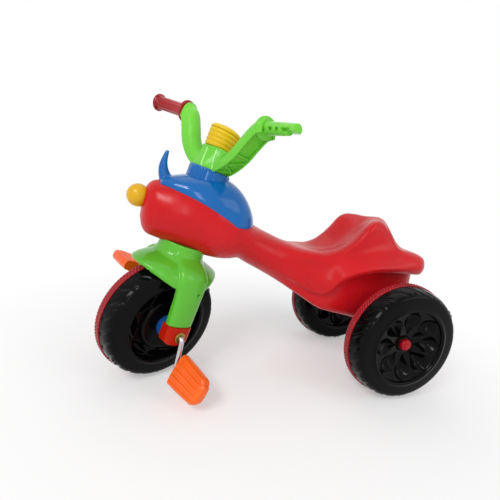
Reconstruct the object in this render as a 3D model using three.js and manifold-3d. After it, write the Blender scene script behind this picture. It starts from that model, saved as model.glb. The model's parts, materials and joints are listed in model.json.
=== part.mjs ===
// A child's pedal tricycle, moulded in plastic: a one-piece body with a scooped saddle and an egg-shaped
// head, a domed head cover, a steered fork with a fender, a ribbed handlebar, three split wheels, and a
// bent crank that carries the front wheel and two pedals.
// Millimetres. X runs to the rear, Y to the rider's right, Z up. It stands with its steering turned left.

import * as THREE from 'three';
import { mergeVertices } from 'three/addons/utils/BufferGeometryUtils.js';
import Module from 'manifold-3d';

// Stance
const wheelRadius = 100;
const wheelbase = 398.4;
const rearTrack = 220.4;
const casterDegrees = 15.5;
const steerDegrees = 26.3;
const crankDegrees = -10;
const leftPedalDegrees = 14;
const rightPedalDegrees = 99;

// Gaps between pieces
const seatGap = 0.3;
const runningGap = 0.4;

// Body
const tailReach = 72.6;
const noseReach = 35;
const headClearance = 8;
const axleCover = 10.1;
const saddleRise = 68.4;
const bodyHalfWidth = 82;
const saddleWallHalfWidth = 61;

// Head cover, its horn and its collar
const coverProud = 1.5;
const hornBaseRadius = 11.5;
const hornTipRadius = 3;
const hornHeight = 49;
const hornBow = 8;
const hornLean = 7;
const collarRadius = 33.5;
const collarHeight = 17;
const collarStand = 7.9;
const collarNotchDepth = 1.6;
const collarNotches = 12;

// Nose ball
const ballRadius = 17.6;
const ballProud = 3.5;

// Steering column, stem and handlebar
const columnRadius = 12;
const neckSocket = 13;
const columnBelow = 16;
const stemRadius = 29.5;
const perchDegrees = 8;
const stemRise = 32.5;
const stemTopHalfWidth = 33;
const stemTopHalfDepth = 19;
const stemRidge = 2.4;
const stemRidgeApart = 17;
const barHalfWidth = 175;
const barStand = 78.1;
const gripRise = 2.4;
const bendForward = 11;
const barForward = 27.5;
const armSetback = 1.5;
const armWidth = 20;
const armDepth = 31;
const armWall = 3;
const armChannel = 8;
const armRibThickness = 2.4;
const gripLength = 76;
const gripRadius = 11.3;
const gripFlute = 0.8;
const gripInnerFlange = 18.8;
const gripOuterFlange = 15;
const gripFlangeThickness = 4;
const coreRootRadius = 9.6;
const coreTipRadius = 7.2;
const coreSlots = 5;
const coreSlotHeight = 2;
const coreSlotDepth = 3;

// Bellows
const bellowsRadius = 26;
const bellowsFootRadius = 23;
const bellowsHeight = 35;
const bellowsFolds = 4;
const bellowsFoldDepth = 2.4;
const bellowsCapHeight = 8;

// Fork, fender and axle caps
const neckRadius = 38;
const neckStand = 15;
const fenderClearance = 17;
const fenderTipLift = 8;
const fenderWall = 3;
const fenderHalfAngleDegrees = 39.5;
const fenderHalfWidth = 64;
const fenderTipHalfWidth = 7;
const fenderDrop = 42;
const legInner = 55;
const legEdge = 62;
const legOuter = 72;
const legHalfWidth = 25;
const legFootHalfWidth = 23.2;
const capInner = 50;
const legFoot = 15;
const capDepth = 14;
const capProud = 1.6;
const legScrewRadius = 2.6;
const legScrewHeight = 69.5;
const legScrewBack = 10;

// Wheels
const bandHalfWidth = 8.5;
const bandDepth = 11;
const shellInset = 3.2;
const shoulderInset = 8.8;
const backInset = 7;
const backShoulderInset = 27;
const shellHalfWidth = 33;
const rimRingInset = 33.1;
const rimRingProud = 3.2;
const rimRingWidth = 5;
const dishDepth = 19;
const petals = 8;
const petalHeight = 7.5;
const lugDepth = 1.4;
const rearHubRadius = 13;
const rearHubOut = 19.5;
const frontHubRadius = 42;
const frontHubOut = 33;
const hubDiscRadius = 18.5;
const hubCapRadius = 10;
const hubCapHeight = 8;

// Axles, crank and pedals
const axleRadius = 4;
const crankThrow = 48.5;
const crankOut = 80.5;
const crankBend = 5;
const pedalInner = 87;
const pedalOuter = 154;
const pedalWidth = 48;
const pedalTipWidth = 39;
const pedalThickness = 22;
const pedalRibs = 5;
const pedalRibDepth = 2.2;
const pedalNotch = 5;
const pedalNotchRadius = 7;
const spacerRadius = 9;
const washerRadius = 10;
const washerThickness = 1.3;

const degree = Math.PI / 180;
const caster = casterDegrees * degree;
const steer = steerDegrees * degree;
const perch = perchDegrees * degree;
const fenderHalfAngle = fenderHalfAngleDegrees * degree;
const noseX = -wheelbase - noseReach;
const bodyLength = noseReach + wheelbase + tailReach;
const overrun = wheelRadius;
const roundSides = 24;
const discSides = 20;
const smallSides = 16;
const wheelSides = 32;

// Radii that follow the wheel's.
const fenderRadius = wheelRadius + fenderClearance;
const shellEdgeRadius = wheelRadius - shellInset;
const shoulderRadius = wheelRadius - shoulderInset;
const backEdgeRadius = wheelRadius - backInset;
const backShoulderRadius = wheelRadius - backShoulderInset;
const rimRingRadius = wheelRadius - rimRingInset;

// The leaning front wheel stands on the edge of its band.
const wheelLean = Math.asin(Math.sin(caster) * Math.sin(steer));
const frontAxleHeight = wheelRadius * Math.cos(wheelLean) + bandHalfWidth * Math.sin(wheelLean);

// Heights of the body: shares of the saddle's height, read between the rear axle, the underside of the
// head over the fender, and the saddle.
const axleShare = 0.31;
const headUnderShare = 0.764;
const axleLevel = wheelRadius - axleCover;
const headUnderLevel = frontAxleHeight + fenderRadius * Math.cos(caster) + headClearance;

function level(share) {
  if (share > headUnderShare) {
    return headUnderLevel + (saddleRise * (share - headUnderShare)) / (1 - headUnderShare);
  }
  return THREE.MathUtils.mapLinear(share, axleShare, headUnderShare, axleLevel, headUnderLevel);
}

// Heights along the steering column, over the front axle.
const coverCrownShare = 1.1707;
const neckTop = fenderRadius + neckStand;
const columnBottom = neckTop - neckSocket;
const collarTop = (level(coverCrownShare) - frontAxleHeight) / Math.cos(caster) + collarStand;
const stemTop = collarTop + stemRise;
const columnTop = stemTop - columnBelow;
const barRise = collarTop + barStand;

const wasm = await Module();
wasm.setup();

// Materials
function plastic(color, roughness = 0.3) {
  return new THREE.MeshStandardMaterial({ color, roughness, metalness: 0 });
}
const red = plastic(0xcd1c22);
const blue = plastic(0x1970be);
const green = plastic(0x64c33c);
const yellow = plastic(0xebc823, 0.35);
const orange = plastic(0xfc7341, 0.4);
const darkRed = plastic(0xa0141e, 0.35);
const black = plastic(0x111113, 0.25);
const bandRed = plastic(0xb02a2e, 0.45);
const chrome = new THREE.MeshStandardMaterial({ color: 0xd8d8da, roughness: 0.15, metalness: 1 });
const brass = new THREE.MeshStandardMaterial({ color: 0xb09a50, roughness: 0.35, metalness: 1 });
const steel = new THREE.MeshStandardMaterial({ color: 0x8a8c90, roughness: 0.4, metalness: 1 });

// Solids and booleans
function positionsOnly(geometry) {
  const bare = geometry.clone();
  for (const name of Object.keys(bare.attributes)) {
    if (name !== 'position') bare.deleteAttribute(name);
  }
  return mergeVertices(bare, 1e-4);
}

function solid(geometry) {
  const merged = positionsOnly(geometry);
  const vertProperties = new Float32Array(merged.attributes.position.array);
  const triVerts = new Uint32Array(merged.index.array);
  return new wasm.Manifold(new wasm.Mesh({ numProp: 3, vertProperties, triVerts }));
}

function geometryOf(manifold) {
  const out = manifold.getMesh();
  const geometry = new THREE.BufferGeometry();
  geometry.setAttribute('position', new THREE.BufferAttribute(new Float32Array(out.vertProperties), 3));
  geometry.setIndex(new THREE.BufferAttribute(new Uint32Array(out.triVerts), 1));
  return geometry;
}

function joined(...geometries) {
  return geometryOf(geometries.map(solid).reduce((all, next) => all.add(next)));
}

function cut(geometry, ...tools) {
  return geometryOf(tools.map(solid).reduce((all, tool) => all.subtract(tool), solid(geometry)));
}

function signedVolume(positions, index) {
  const a = new THREE.Vector3();
  const b = new THREE.Vector3();
  const c = new THREE.Vector3();
  let total = 0;
  for (let i = 0; i < index.length; i += 3) {
    a.fromArray(positions, 3 * index[i]);
    b.fromArray(positions, 3 * index[i + 1]);
    c.fromArray(positions, 3 * index[i + 2]);
    total += a.dot(b.cross(c));
  }
  return total;
}

// A closed skin through rings of points. The end rings are capped with `flat`, which gives each ring
// point its place in the plane of the cap; without it the last ring joins the first one.
function loft(rings, flat = null) {
  const count = rings[0].length;
  const positions = [];
  for (const ring of rings) {
    for (const point of ring) positions.push(point.x, point.y, point.z);
  }
  let index = [];
  const lastRow = flat ? rings.length - 1 : rings.length;
  for (let row = 0; row < lastRow; row++) {
    const next = (row + 1) % rings.length;
    for (let i = 0; i < count; i++) {
      const j = (i + 1) % count;
      const a = row * count + i;
      const b = row * count + j;
      const c = next * count + j;
      const d = next * count + i;
      index.push(a, b, c, a, c, d);
    }
  }
  if (flat) {
    const outlines = [rings[0], rings[rings.length - 1]].map((ring) => ring.map(flat));
    const starts = [0, (rings.length - 1) * count];
    outlines.forEach((outline, end) => {
      const clockwise = THREE.ShapeUtils.isClockWise(outline);
      for (const [a, b, c] of THREE.ShapeUtils.triangulateShape(outline, [])) {
        const triangle = [starts[end] + a, starts[end] + b, starts[end] + c];
        if (clockwise !== (end === 0)) triangle.reverse();
        index.push(...triangle);
      }
    });
  }
  if (signedVolume(positions, index) < 0) index = index.reverse();
  const geometry = new THREE.BufferGeometry();
  geometry.setAttribute('position', new THREE.Float32BufferAttribute(positions, 3));
  geometry.setIndex(index);
  return geometry;
}

// A turned solid about Z: the profile is [radius, z] pairs that start and end on the axis, or close.
function turned(profile, sides = roundSides) {
  const points = profile.map(([radius, z]) => new THREE.Vector2(radius, z));
  const geometry = new THREE.LatheGeometry(points, sides);
  geometry.rotateX(Math.PI / 2);
  const bare = positionsOnly(geometry);
  if (signedVolume(bare.attributes.position.array, bare.index.array) < 0) {
    bare.setIndex([...bare.index.array].reverse());
  }
  return bare;
}

function rod(radius, from, to, sides = roundSides) {
  return turned([[0, from], [radius, from], [radius, to], [0, to]], sides);
}

function tube(outer, inner, from, to, sides = roundSides) {
  return turned([[inner, from], [outer, from], [outer, to], [inner, to], [inner, from]], sides);
}

// A hole of this nominal radius whose flats still clear a round of that radius.
function boreRadius(radius, sides = roundSides) {
  return (radius + runningGap) / Math.cos(Math.PI / sides);
}

// Values read along a rail: a smooth rise and fall through hand-set shares, with no overshoot.
function along(rail, share) {
  const last = rail.length - 1;
  if (share <= rail[0][0]) return rail[0][1];
  if (share >= rail[last][0]) return rail[last][1];
  const k = rail.findIndex(([at]) => at > share) - 1;
  const slope = (i) => (rail[i + 1][1] - rail[i][1]) / (rail[i + 1][0] - rail[i][0]);
  const tangent = (i) => {
    if (i === 0 || i === last) return slope(Math.min(i, last - 1));
    const before = slope(i - 1);
    const after = slope(i);
    return before * after <= 0 ? 0 : (2 * before * after) / (before + after);
  };
  const width = rail[k + 1][0] - rail[k][0];
  const t = (share - rail[k][0]) / width;
  const start = (1 + 2 * t) * (1 - t) ** 2 * rail[k][1] + t * (1 - t) ** 2 * width * tangent(k);
  const end = t * t * (3 - 2 * t) * rail[k + 1][1] + t * t * (t - 1) * width * tangent(k + 1);
  return start + end;
}

function smoothStep(from, to, value) {
  const t = Math.min(1, Math.max(0, (value - from) / (to - from)));
  return t * t * (3 - 2 * t);
}

const model = new THREE.Group();

function add(parent, name, geometry, material) {
  const mesh = new THREE.Mesh(geometry, material);
  mesh.name = name;
  parent.add(mesh);
  return mesh;
}

// Steering: one leaning group through the front axle, and the turned group inside it.
const leaning = new THREE.Group();
leaning.position.set(-wheelbase, 0, frontAxleHeight);
leaning.rotation.y = caster;
const steering = new THREE.Group();
steering.rotation.z = steer;
leaning.add(steering);
model.add(leaning);

function onColumn(geometry) {
  const placed = geometry.clone();
  placed.rotateY(caster);
  placed.translate(-wheelbase, 0, frontAxleHeight);
  return placed;
}

// Body rails: shares of the body's length from the nose, with shares of height, and of the body's half
// width.
const crownShares = [
  [0, 0.921], [0.006, 1.024], [0.02, 1.093], [0.04, 1.116], [0.065, 1.122], [0.101, 1.134], [0.15, 1.141],
  [0.209, 1.131], [0.271, 1.072], [0.32, 0.986], [0.364, 0.914], [0.431, 0.862], [0.47, 0.836],
  [0.504, 0.819], [0.557, 0.797], [0.611, 0.786], [0.65, 0.793], [0.68, 0.814], [0.709, 0.855],
  [0.739, 0.907], [0.769, 0.955], [0.798, 0.993], [0.828, 1.014], [0.848, 1.017], [0.868, 1.007],
  [0.885, 0.979], [0.901, 0.931], [0.913, 0.886], [0.925, 0.855], [0.947, 0.834], [0.976, 0.821],
  [0.992, 0.803], [1, 0.783],
];
const keelShares = [
  [0, 0.921], [0.006, 0.866], [0.02, 0.831], [0.055, 0.807], [0.121, 0.766], [0.2, 0.724], [0.265, 0.707],
  [0.31, 0.71], [0.35, 0.679], [0.411, 0.634], [0.54, 0.517], [0.634, 0.428], [0.715, 0.39],
  [0.785, 0.355], [0.84, 0.317], [0.889, 0.297], [0.935, 0.3], [0.951, 0.345], [0.96, 0.517],
  [0.968, 0.676], [0.984, 0.71], [1, 0.734],
];
const sideShares = [
  [0, 0.02], [0.006, 0.195], [0.02, 0.354], [0.055, 0.5], [0.101, 0.598], [0.15, 0.659], [0.209, 0.689],
  [0.271, 0.659], [0.32, 0.598], [0.37, 0.549], [0.431, 0.524], [0.482, 0.543], [0.536, 0.61],
  [0.581, 0.695], [0.625, 0.805], [0.65, 0.89], [0.7, 0.963], [0.779, 1], [0.858, 1], [0.917, 0.988],
  [0.947, 0.963], [0.966, 0.915], [0.982, 0.841], [0.994, 0.744], [1, 0.634],
];
const rimHeightShares = [
  [0.431, 0.852], [0.462, 0.831], [0.536, 0.8], [0.595, 0.793], [0.646, 0.814], [0.686, 0.855],
  [0.719, 0.91], [0.749, 0.979], [0.775, 1.003], [0.802, 1], [0.826, 0.976], [0.85, 0.945], [0.864, 0.903],
  [0.881, 0.866], [0.897, 0.852], [0.947, 0.834], [0.976, 0.821], [1, 0.786],
];
const rimWidthShares = [
  [0.431, 0.366], [0.462, 0.439], [0.536, 0.5], [0.595, 0.537], [0.646, 0.585], [0.686, 0.646],
  [0.719, 0.671], [0.749, 0.659], [0.779, 0.598], [0.802, 0.573], [0.85, 0.561], [0.897, 0.561],
  [0.947, 0.561], [0.976, 0.512], [1, 0.39],
];
const waistHeightShares = [
  [0.431, 0.821], [0.536, 0.779], [0.595, 0.762], [0.626, 0.759], [0.688, 0.803], [0.737, 0.831],
  [0.791, 0.85], [0.858, 0.859], [0.883, 0.848], [0.937, 0.831], [0.976, 0.817], [1, 0.783],
];
const waistWidthShares = [
  [0.431, 0.463], [0.536, 0.573], [0.595, 0.659], [0.646, 0.72], [0.739, 0.744], [0.883, 0.744],
  [0.947, 0.744], [0.976, 0.671], [1, 0.512],
];
const lipHeightShares = [
  [0.431, 0.79], [0.536, 0.734], [0.595, 0.71], [0.652, 0.728], [0.713, 0.762], [0.765, 0.779],
  [0.858, 0.79], [0.937, 0.803], [0.976, 0.803], [1, 0.776],
];
const underHeightShares = [
  [0.431, 0.686], [0.536, 0.586], [0.595, 0.555], [0.625, 0.566], [0.65, 0.631], [0.709, 0.69],
  [0.792, 0.717], [0.883, 0.717], [0.937, 0.71], [0.966, 0.707], [0.988, 0.721], [1, 0.741],
];
const wallWidthShares = [
  [0.431, 0.557], [0.536, 0.656], [0.595, 0.787], [0.646, 0.918], [0.709, 1], [0.927, 1], [0.957, 0.902],
  [0.976, 0.754], [1, 0.59],
];
const saddleStartShare = 0.42;
const saddleFullShare = 0.58;
const ovalAngles = [0, 36, 60, 80, 96, 112, 130, 156, 180];
const lipTopWidthShare = 0.92;
const lipEdgeRise = 0.42;
const lipRollShare = 0.92;
const wallFootRise = 0.12;
const wallFootWidthShare = 0.88;
const ringSamples = 2;

// Half of one cross-section, from the crown round to the keel: an oval at the head, easing into the
// saddle with its rim, waist, rolled lip and recessed wall.
function bodyHalfSection(share) {
  const crown = level(along(crownShares, share));
  const keel = level(along(keelShares, share));
  const side = along(sideShares, share) * bodyHalfWidth;
  const centre = (crown + keel) / 2;
  const halfHeight = (crown - keel) / 2;
  const oval = ovalAngles.map((angle) => [
    side * Math.sin(angle * degree),
    centre + halfHeight * Math.cos(angle * degree),
  ]);
  const blend = smoothStep(saddleStartShare, saddleFullShare, share);
  if (blend === 0) return oval;
  const lip = level(along(lipHeightShares, share));
  const under = level(along(underHeightShares, share));
  const wall = along(wallWidthShares, share) * saddleWallHalfWidth;
  const foot = keel + (under - keel) * wallFootRise;
  const saddle = [
    [0, crown],
    [along(rimWidthShares, share) * bodyHalfWidth, level(along(rimHeightShares, share))],
    [along(waistWidthShares, share) * bodyHalfWidth, level(along(waistHeightShares, share))],
    [side * lipTopWidthShare, lip],
    [side, THREE.MathUtils.lerp(under, lip, lipEdgeRise)],
    [side * lipRollShare, under],
    [wall, under - seatGap],
    [wall * wallFootWidthShare, foot],
    [0, keel],
  ];
  return oval.map(([y, z], i) => [
    THREE.MathUtils.lerp(y, saddle[i][0], blend),
    THREE.MathUtils.lerp(z, saddle[i][1], blend),
  ]);
}

function bodyRing(share) {
  const half = bodyHalfSection(share);
  const x = noseX + share * bodyLength;
  const right = half.map(([y, z]) => new THREE.Vector3(x, y, z));
  const left = half.slice(1, -1).reverse().map(([y, z]) => new THREE.Vector3(x, -y, z));
  const curve = new THREE.CatmullRomCurve3([...right, ...left], true, 'centripetal');
  return curve.getPoints((right.length + left.length) * ringSamples).slice(0, -1);
}

function stationsBetween(from, to, count, ease = (t) => t) {
  return Array.from({ length: count }, (_, i) => from + (to - from) * ease(i / count));
}
const noseShare = 0.09;
const neckShare = 0.57;
const humpShare = 0.68;
const backShare = 0.86;
const tailShare = 0.945;
const stationShares = [
  ...stationsBetween(0.0004, noseShare, 5, (t) => t * t),
  ...stationsBetween(noseShare, neckShare, 9),
  ...stationsBetween(neckShare, humpShare, 4),
  ...stationsBetween(humpShare, backShare, 8),
  ...stationsBetween(backShare, tailShare, 3),
  ...stationsBetween(tailShare, 1, 5),
  1,
];

// The parting line between the head and its cover, seen from the side: shares of the body's length from
// the nose, and of the cover's height, which itself is a share of the saddle's.
const coverHeightShare = 1.1897;
const partingShares = [
  [0.02, 0.935], [0.06, 0.924], [0.1, 0.907], [0.145, 0.884], [0.19, 0.855], [0.225, 0.827], [0.26, 0.798],
  [0.285, 0.774], [0.32, 0.768], [0.37, 0.772],
];
const coverFrontShare = 0.052;
const coverBackShare = 0.362;
const coverCrownShares = [
  [0.052, 0.93], [0.056, 0.945], [0.07, 0.957], [0.095, 0.967], [0.135, 0.978], [0.19, 0.984], [0.25, 0.975],
  [0.28, 0.955], [0.304, 0.928], [0.328, 0.885], [0.346, 0.835], [0.358, 0.785], [0.362, 0.768],
];
const coverCutReachShare = 0.366;

function partingHeight(share) {
  return level(along(partingShares, share) * coverHeightShare);
}

function partingBlock(fromShare, toShare, lift) {
  const steps = 14;
  const outline = new THREE.Shape();
  const top = level(coverHeightShare) + overrun;
  outline.moveTo(noseX + fromShare * bodyLength, top);
  for (let i = 0; i <= steps; i++) {
    const share = fromShare + ((toShare - fromShare) * i) / steps;
    outline.lineTo(noseX + share * bodyLength, partingHeight(share) + lift);
  }
  outline.lineTo(noseX + toShare * bodyLength, top);
  const block = new THREE.ExtrudeGeometry(outline, { depth: 2 * bodyHalfWidth, bevelEnabled: false });
  block.translate(0, 0, -bodyHalfWidth);
  block.rotateX(Math.PI / 2);
  return block;
}

const ballShare = 1.0276;
const ballPlace = new THREE.Vector3(noseX - ballProud, 0, level(ballShare));

function ball(radius, across, down) {
  const sphere = new THREE.SphereGeometry(radius, across, down);
  sphere.translate(ballPlace.x, ballPlace.y, ballPlace.z);
  return sphere;
}

function crosswise(geometry, x, z) {
  const placed = geometry.clone();
  placed.rotateX(-Math.PI / 2);
  placed.translate(x, 0, z);
  return placed;
}

function bodyShell() {
  const skin = loft(stationShares.map(bodyRing), (point) => new THREE.Vector2(point.y, point.z));
  const bore = onColumn(rod(boreRadius(columnRadius), columnBottom, columnTop));
  const recess = onColumn(rod(boreRadius(neckRadius), columnBottom, neckTop + runningGap));
  const axleHole = crosswise(rod(axleRadius + seatGap, -bodyHalfWidth, bodyHalfWidth, smallSides), 0, wheelRadius);
  const headTop = partingBlock(0, coverCutReachShare, 0);
  return cut(skin, headTop, ball(ballRadius + seatGap, 16, 9), bore, recess, axleHole);
}

// Head cover: its dome is made a skirt too deep, and cut off along the parting line.
const coverSkirt = 6;

function headHalfWidthAt(share, z) {
  const crown = level(along(crownShares, share));
  const keel = level(along(keelShares, share));
  const side = along(sideShares, share) * bodyHalfWidth;
  const offset = (z - (crown + keel) / 2) / ((crown - keel) / 2);
  return side * Math.sqrt(Math.max(0, 1 - offset * offset));
}

function coverRing(share) {
  const arcSteps = 12;
  const base = partingHeight(share) + seatGap;
  const crown = Math.max(level(along(coverCrownShares, share) * coverHeightShare), base + coverProud);
  const half = headHalfWidthAt(share, base) + coverProud;
  const x = noseX + share * bodyLength;
  const fullness = 0.86;
  const arc = Array.from({ length: arcSteps + 1 }, (_, i) => {
    const angle = (Math.PI * i) / arcSteps;
    const y = half * Math.sign(Math.cos(angle)) * Math.abs(Math.cos(angle)) ** fullness;
    return new THREE.Vector3(x, y, base + (crown - base) * Math.sin(angle) ** fullness);
  });
  const foot = base - coverSkirt;
  return [new THREE.Vector3(x, half, foot), ...arc, new THREE.Vector3(x, -half, foot)];
}

const hornShare = 0.076;
const hornFootShare = 1.1;

function horn() {
  const steps = 7;
  const start = new THREE.Vector3(noseX + hornShare * bodyLength, 0, level(hornFootShare));
  const rings = Array.from({ length: steps + 1 }, (_, row) => {
    const t = row / steps;
    const radius = THREE.MathUtils.lerp(hornBaseRadius, hornTipRadius, t ** 0.9);
    const flare = 0.6 * hornBaseRadius * (1 - t) ** 4;
    const x = start.x - hornBow * Math.sin(Math.PI * t) - hornLean * t * (t - 0.55);
    const z = start.z + hornHeight * t;
    return Array.from({ length: smallSides }, (_, i) => {
      const angle = (2 * Math.PI * i) / smallSides;
      const back = Math.cos(angle) > 0 ? flare : 0;
      return new THREE.Vector3(x + (radius + back) * Math.cos(angle), radius * Math.sin(angle), z);
    });
  });
  const tip = rings[steps];
  rings.push(tip.map((point) => {
    const middle = tip.reduce((sum, p) => sum.add(p), new THREE.Vector3()).divideScalar(tip.length);
    return point.clone().lerp(middle, 0.5).add(new THREE.Vector3(0, 0, 0.45 * hornTipRadius));
  }));
  return loft(rings, (point) => new THREE.Vector2(point.x, point.y));
}

function notchedCollar() {
  const outline = new THREE.Shape();
  const steps = collarNotches * 4;
  for (let i = 0; i < steps; i++) {
    const radius = collarRadius - (i % 4 === 0 ? collarNotchDepth : 0);
    const angle = (2 * Math.PI * i) / steps;
    outline[i === 0 ? 'moveTo' : 'lineTo'](radius * Math.cos(angle), radius * Math.sin(angle));
  }
  outline.closePath();
  const depth = collarHeight + collarRadius;
  const ring = new THREE.ExtrudeGeometry(outline, { depth, bevelEnabled: false });
  ring.translate(0, 0, collarTop - depth);
  return ring;
}

function headCover() {
  const count = 17;
  const span = coverBackShare - coverFrontShare;
  const rings = Array.from({ length: count + 1 }, (_, i) => {
    const t = (1 - Math.cos((Math.PI * i) / count)) / 2;
    return coverRing(coverFrontShare + span * t);
  });
  const dome = loft(rings, (point) => new THREE.Vector2(point.y, point.z));
  const collar = onColumn(notchedCollar());
  const whole = solid(dome).add(solid(horn())).add(solid(collar));
  const kept = whole.intersect(solid(partingBlock(0, coverCutReachShare, seatGap)));
  const well = onColumn(rod(boreRadius(stemRadius), stemBottom - runningGap, collarTop + overrun));
  const bore = onColumn(rod(boreRadius(columnRadius), columnBottom, collarTop));
  return cut(geometryOf(kept), well, bore);
}

// Handlebar: a stem with ridges, two channelled arms with ribs, and slotted cores for the grips.
const stemBottom = collarTop - collarHeight + runningGap;

function stemShape() {
  const steps = 5;
  const sides = 24;
  const rings = [];
  for (let row = 0; row <= steps; row++) {
    const z = stemBottom + ((stemTop - stemBottom) * row) / steps;
    const t = smoothStep(collarTop, stemTop, z);
    const halfWidth = THREE.MathUtils.lerp(stemRadius, stemTopHalfWidth, t);
    const halfDepth = THREE.MathUtils.lerp(stemRadius, stemTopHalfDepth, t);
    rings.push(Array.from({ length: sides }, (_, i) => {
      const angle = (2 * Math.PI * i) / sides;
      const x = halfDepth * Math.cos(angle);
      return new THREE.Vector3(x, halfWidth * Math.sin(angle), z - x * Math.tan(perch) * t);
    }));
  }
  return loft(rings, (point) => new THREE.Vector2(point.x, point.y));
}

// Two upright ridges follow the front of the stem.
function stemRidgeShape(side) {
  const steps = 6;
  const from = collarTop + runningGap;
  const to = stemTop - stemRidge;
  const rings = Array.from({ length: steps + 1 }, (_, row) => {
    const z = from + ((to - from) * row) / steps;
    const t = smoothStep(collarTop, stemTop, z);
    const halfWidth = THREE.MathUtils.lerp(stemRadius, stemTopHalfWidth, t);
    const halfDepth = THREE.MathUtils.lerp(stemRadius, stemTopHalfDepth, t);
    const middle = (side * stemRidgeApart) / 2;
    const front = -halfDepth * Math.sqrt(1 - (middle / halfWidth) ** 2);
    const half = stemRidge / 2;
    return [
      [front - stemRidge, middle - half * 0.5], [front - stemRidge, middle + half * 0.5],
      [front + stemRidge, middle + half], [front + stemRidge, middle - half],
    ].map(([x, y]) => new THREE.Vector3(x, y, z));
  });
  return solid(loft(rings, (point) => new THREE.Vector2(point.x, point.y)));
}

const bendHalfWidth = barHalfWidth - gripLength;

// The arm's middle line: forward lean, side reach and height as shares of the bend's place.
const armShares = [
  [0, 0.16, 0.775], [0.12, 0.4, 0.81], [0.35, 0.61, 0.865], [0.6, 0.75, 0.93], [0.85, 0.88, 0.982], [1, 1.02, 1],
];

function armCurve(side) {
  return new THREE.CatmullRomCurve3(armShares.map(([forward, reach, rise]) => new THREE.Vector3(
    armSetback - forward * bendForward, side * reach * bendHalfWidth, rise * barRise)));
}

function armFrame(curve, side, t) {
  const place = curve.getPointAt(t);
  const tangent = curve.getTangentAt(t);
  const fore = new THREE.Vector3(1, 0, 0);
  const out = new THREE.Vector3().crossVectors(fore, tangent).multiplyScalar(-side).normalize();
  if (out.y * side < 0) out.negate();
  return { place, tangent, fore, out };
}

// The arm's section: rounded towards the bellows, with a shallow channel on the outside.
const armRoundShare = 0.6;
const armRibShares = [0.14, 0.25, 0.36, 0.5];
const armRibTilts = [35, -25, 35, 0];

function armSection() {
  const half = armWidth / 2;
  const deep = armDepth / 2;
  const turns = 6;
  const back = Array.from({ length: turns + 1 }, (_, i) => {
    const angle = Math.PI * (i / turns - 0.5);
    return [-half + armRoundShare * armWidth * (1 - Math.cos(angle)), deep * Math.sin(angle)];
  });
  const floor = half - armChannel;
  return [
    ...back, [half, deep], [half, deep - armWall], [floor, deep - armWall], [floor, armWall - deep],
    [half, armWall - deep], [half, -deep],
  ];
}

function armArt(side) {
  const curve = armCurve(side);
  const section = armSection();
  const steps = 10;
  const rings = Array.from({ length: steps + 1 }, (_, row) => {
    const { place, fore, out } = armFrame(curve, side, row / steps);
    return section.map(([n, x]) => place.clone().addScaledVector(out, n).addScaledVector(fore, x));
  });
  const { fore, out } = armFrame(curve, side, 0);
  let arm = solid(loft(rings, (point) => new THREE.Vector2(point.dot(out), point.dot(fore))));
  armRibShares.forEach((share, rib) => {
    const at = armFrame(curve, side, share);
    const tilt = armRibTilts[rib] * degree;
    const reach = (armDepth - armWall - armRibThickness * Math.abs(Math.sin(tilt))) / Math.cos(tilt);
    const plate = new THREE.BoxGeometry(reach, armChannel, armRibThickness);
    plate.rotateY(tilt);
    plate.translate(0, (armWidth - armChannel - armWall) / 2, 0);
    const turn = new THREE.Matrix4().makeBasis(at.fore, at.out, new THREE.Vector3().crossVectors(at.fore, at.out));
    plate.applyMatrix4(turn);
    plate.translate(at.place.x, at.place.y, at.place.z);
    arm = arm.add(solid(plate));
  });
  return arm;
}

const gripRoot = new THREE.Vector3(-bendForward, bendHalfWidth, barRise);
const gripTip = new THREE.Vector3(-barForward, barHalfWidth, barRise + gripRise);

// Stands a shape made along +Z on the line of one grip, with its foot at the grip's root.
function onGrip(geometry, side) {
  const root = gripRoot.clone();
  const tip = gripTip.clone();
  root.y *= side;
  tip.y *= side;
  const direction = tip.sub(root).normalize();
  const turn = new THREE.Quaternion().setFromUnitVectors(new THREE.Vector3(0, 0, 1), direction);
  const placed = geometry.clone();
  placed.applyQuaternion(turn);
  placed.translate(root.x, root.y, root.z);
  return placed;
}

// The bar's core tapers to its tip and has a row of slots along its front.
function slottedCore() {
  const length = gripLength - 2 * gripFlangeThickness;
  const core = turned([
    [0, -coreRootRadius], [coreRootRadius, -coreRootRadius], [coreRootRadius, 0],
    [coreTipRadius, length - coreTipRadius / 2], [coreTipRadius * 0.8, length], [0, length],
  ], smallSides);
  const pitch = length / (coreSlots + 1);
  const slots = Array.from({ length: coreSlots }, (_, i) => {
    const along = (i + 0.9) * pitch;
    const radius = THREE.MathUtils.lerp(coreRootRadius, coreTipRadius, along / length);
    const slot = new THREE.BoxGeometry(2 * coreSlotDepth, coreSlotHeight, pitch * 0.7);
    slot.translate(-radius, 0, along);
    return slot;
  });
  return cut(core, ...slots);
}

function bendBoss() {
  const radius = gripInnerFlange * 0.93;
  const back = armWidth * 0.6;
  return turned([
    [0, -back], [radius * 0.8, -back], [radius, -back * 0.6], [radius, -seatGap], [0, -seatGap],
  ]);
}

// The room kept clear for the cover's collar, outside the stem.
function collarRoom() {
  return tube(overrun, stemRadius - runningGap, stemBottom, collarTop + runningGap);
}

function handlebar() {
  let bar = solid(stemShape()).add(stemRidgeShape(1)).add(stemRidgeShape(-1));
  for (const side of [1, -1]) {
    const gripRoom = solid(onGrip(rod(gripInnerFlange + armWidth, -seatGap, gripLength), side));
    const arm = armArt(side).subtract(gripRoom).subtract(solid(collarRoom()));
    bar = bar.add(arm).add(solid(onGrip(slottedCore(), side))).add(solid(onGrip(bendBoss(), side)));
  }
  const socket = rod(columnRadius + seatGap, stemBottom - overrun, columnTop + seatGap);
  return cut(geometryOf(bar), socket);
}

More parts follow.
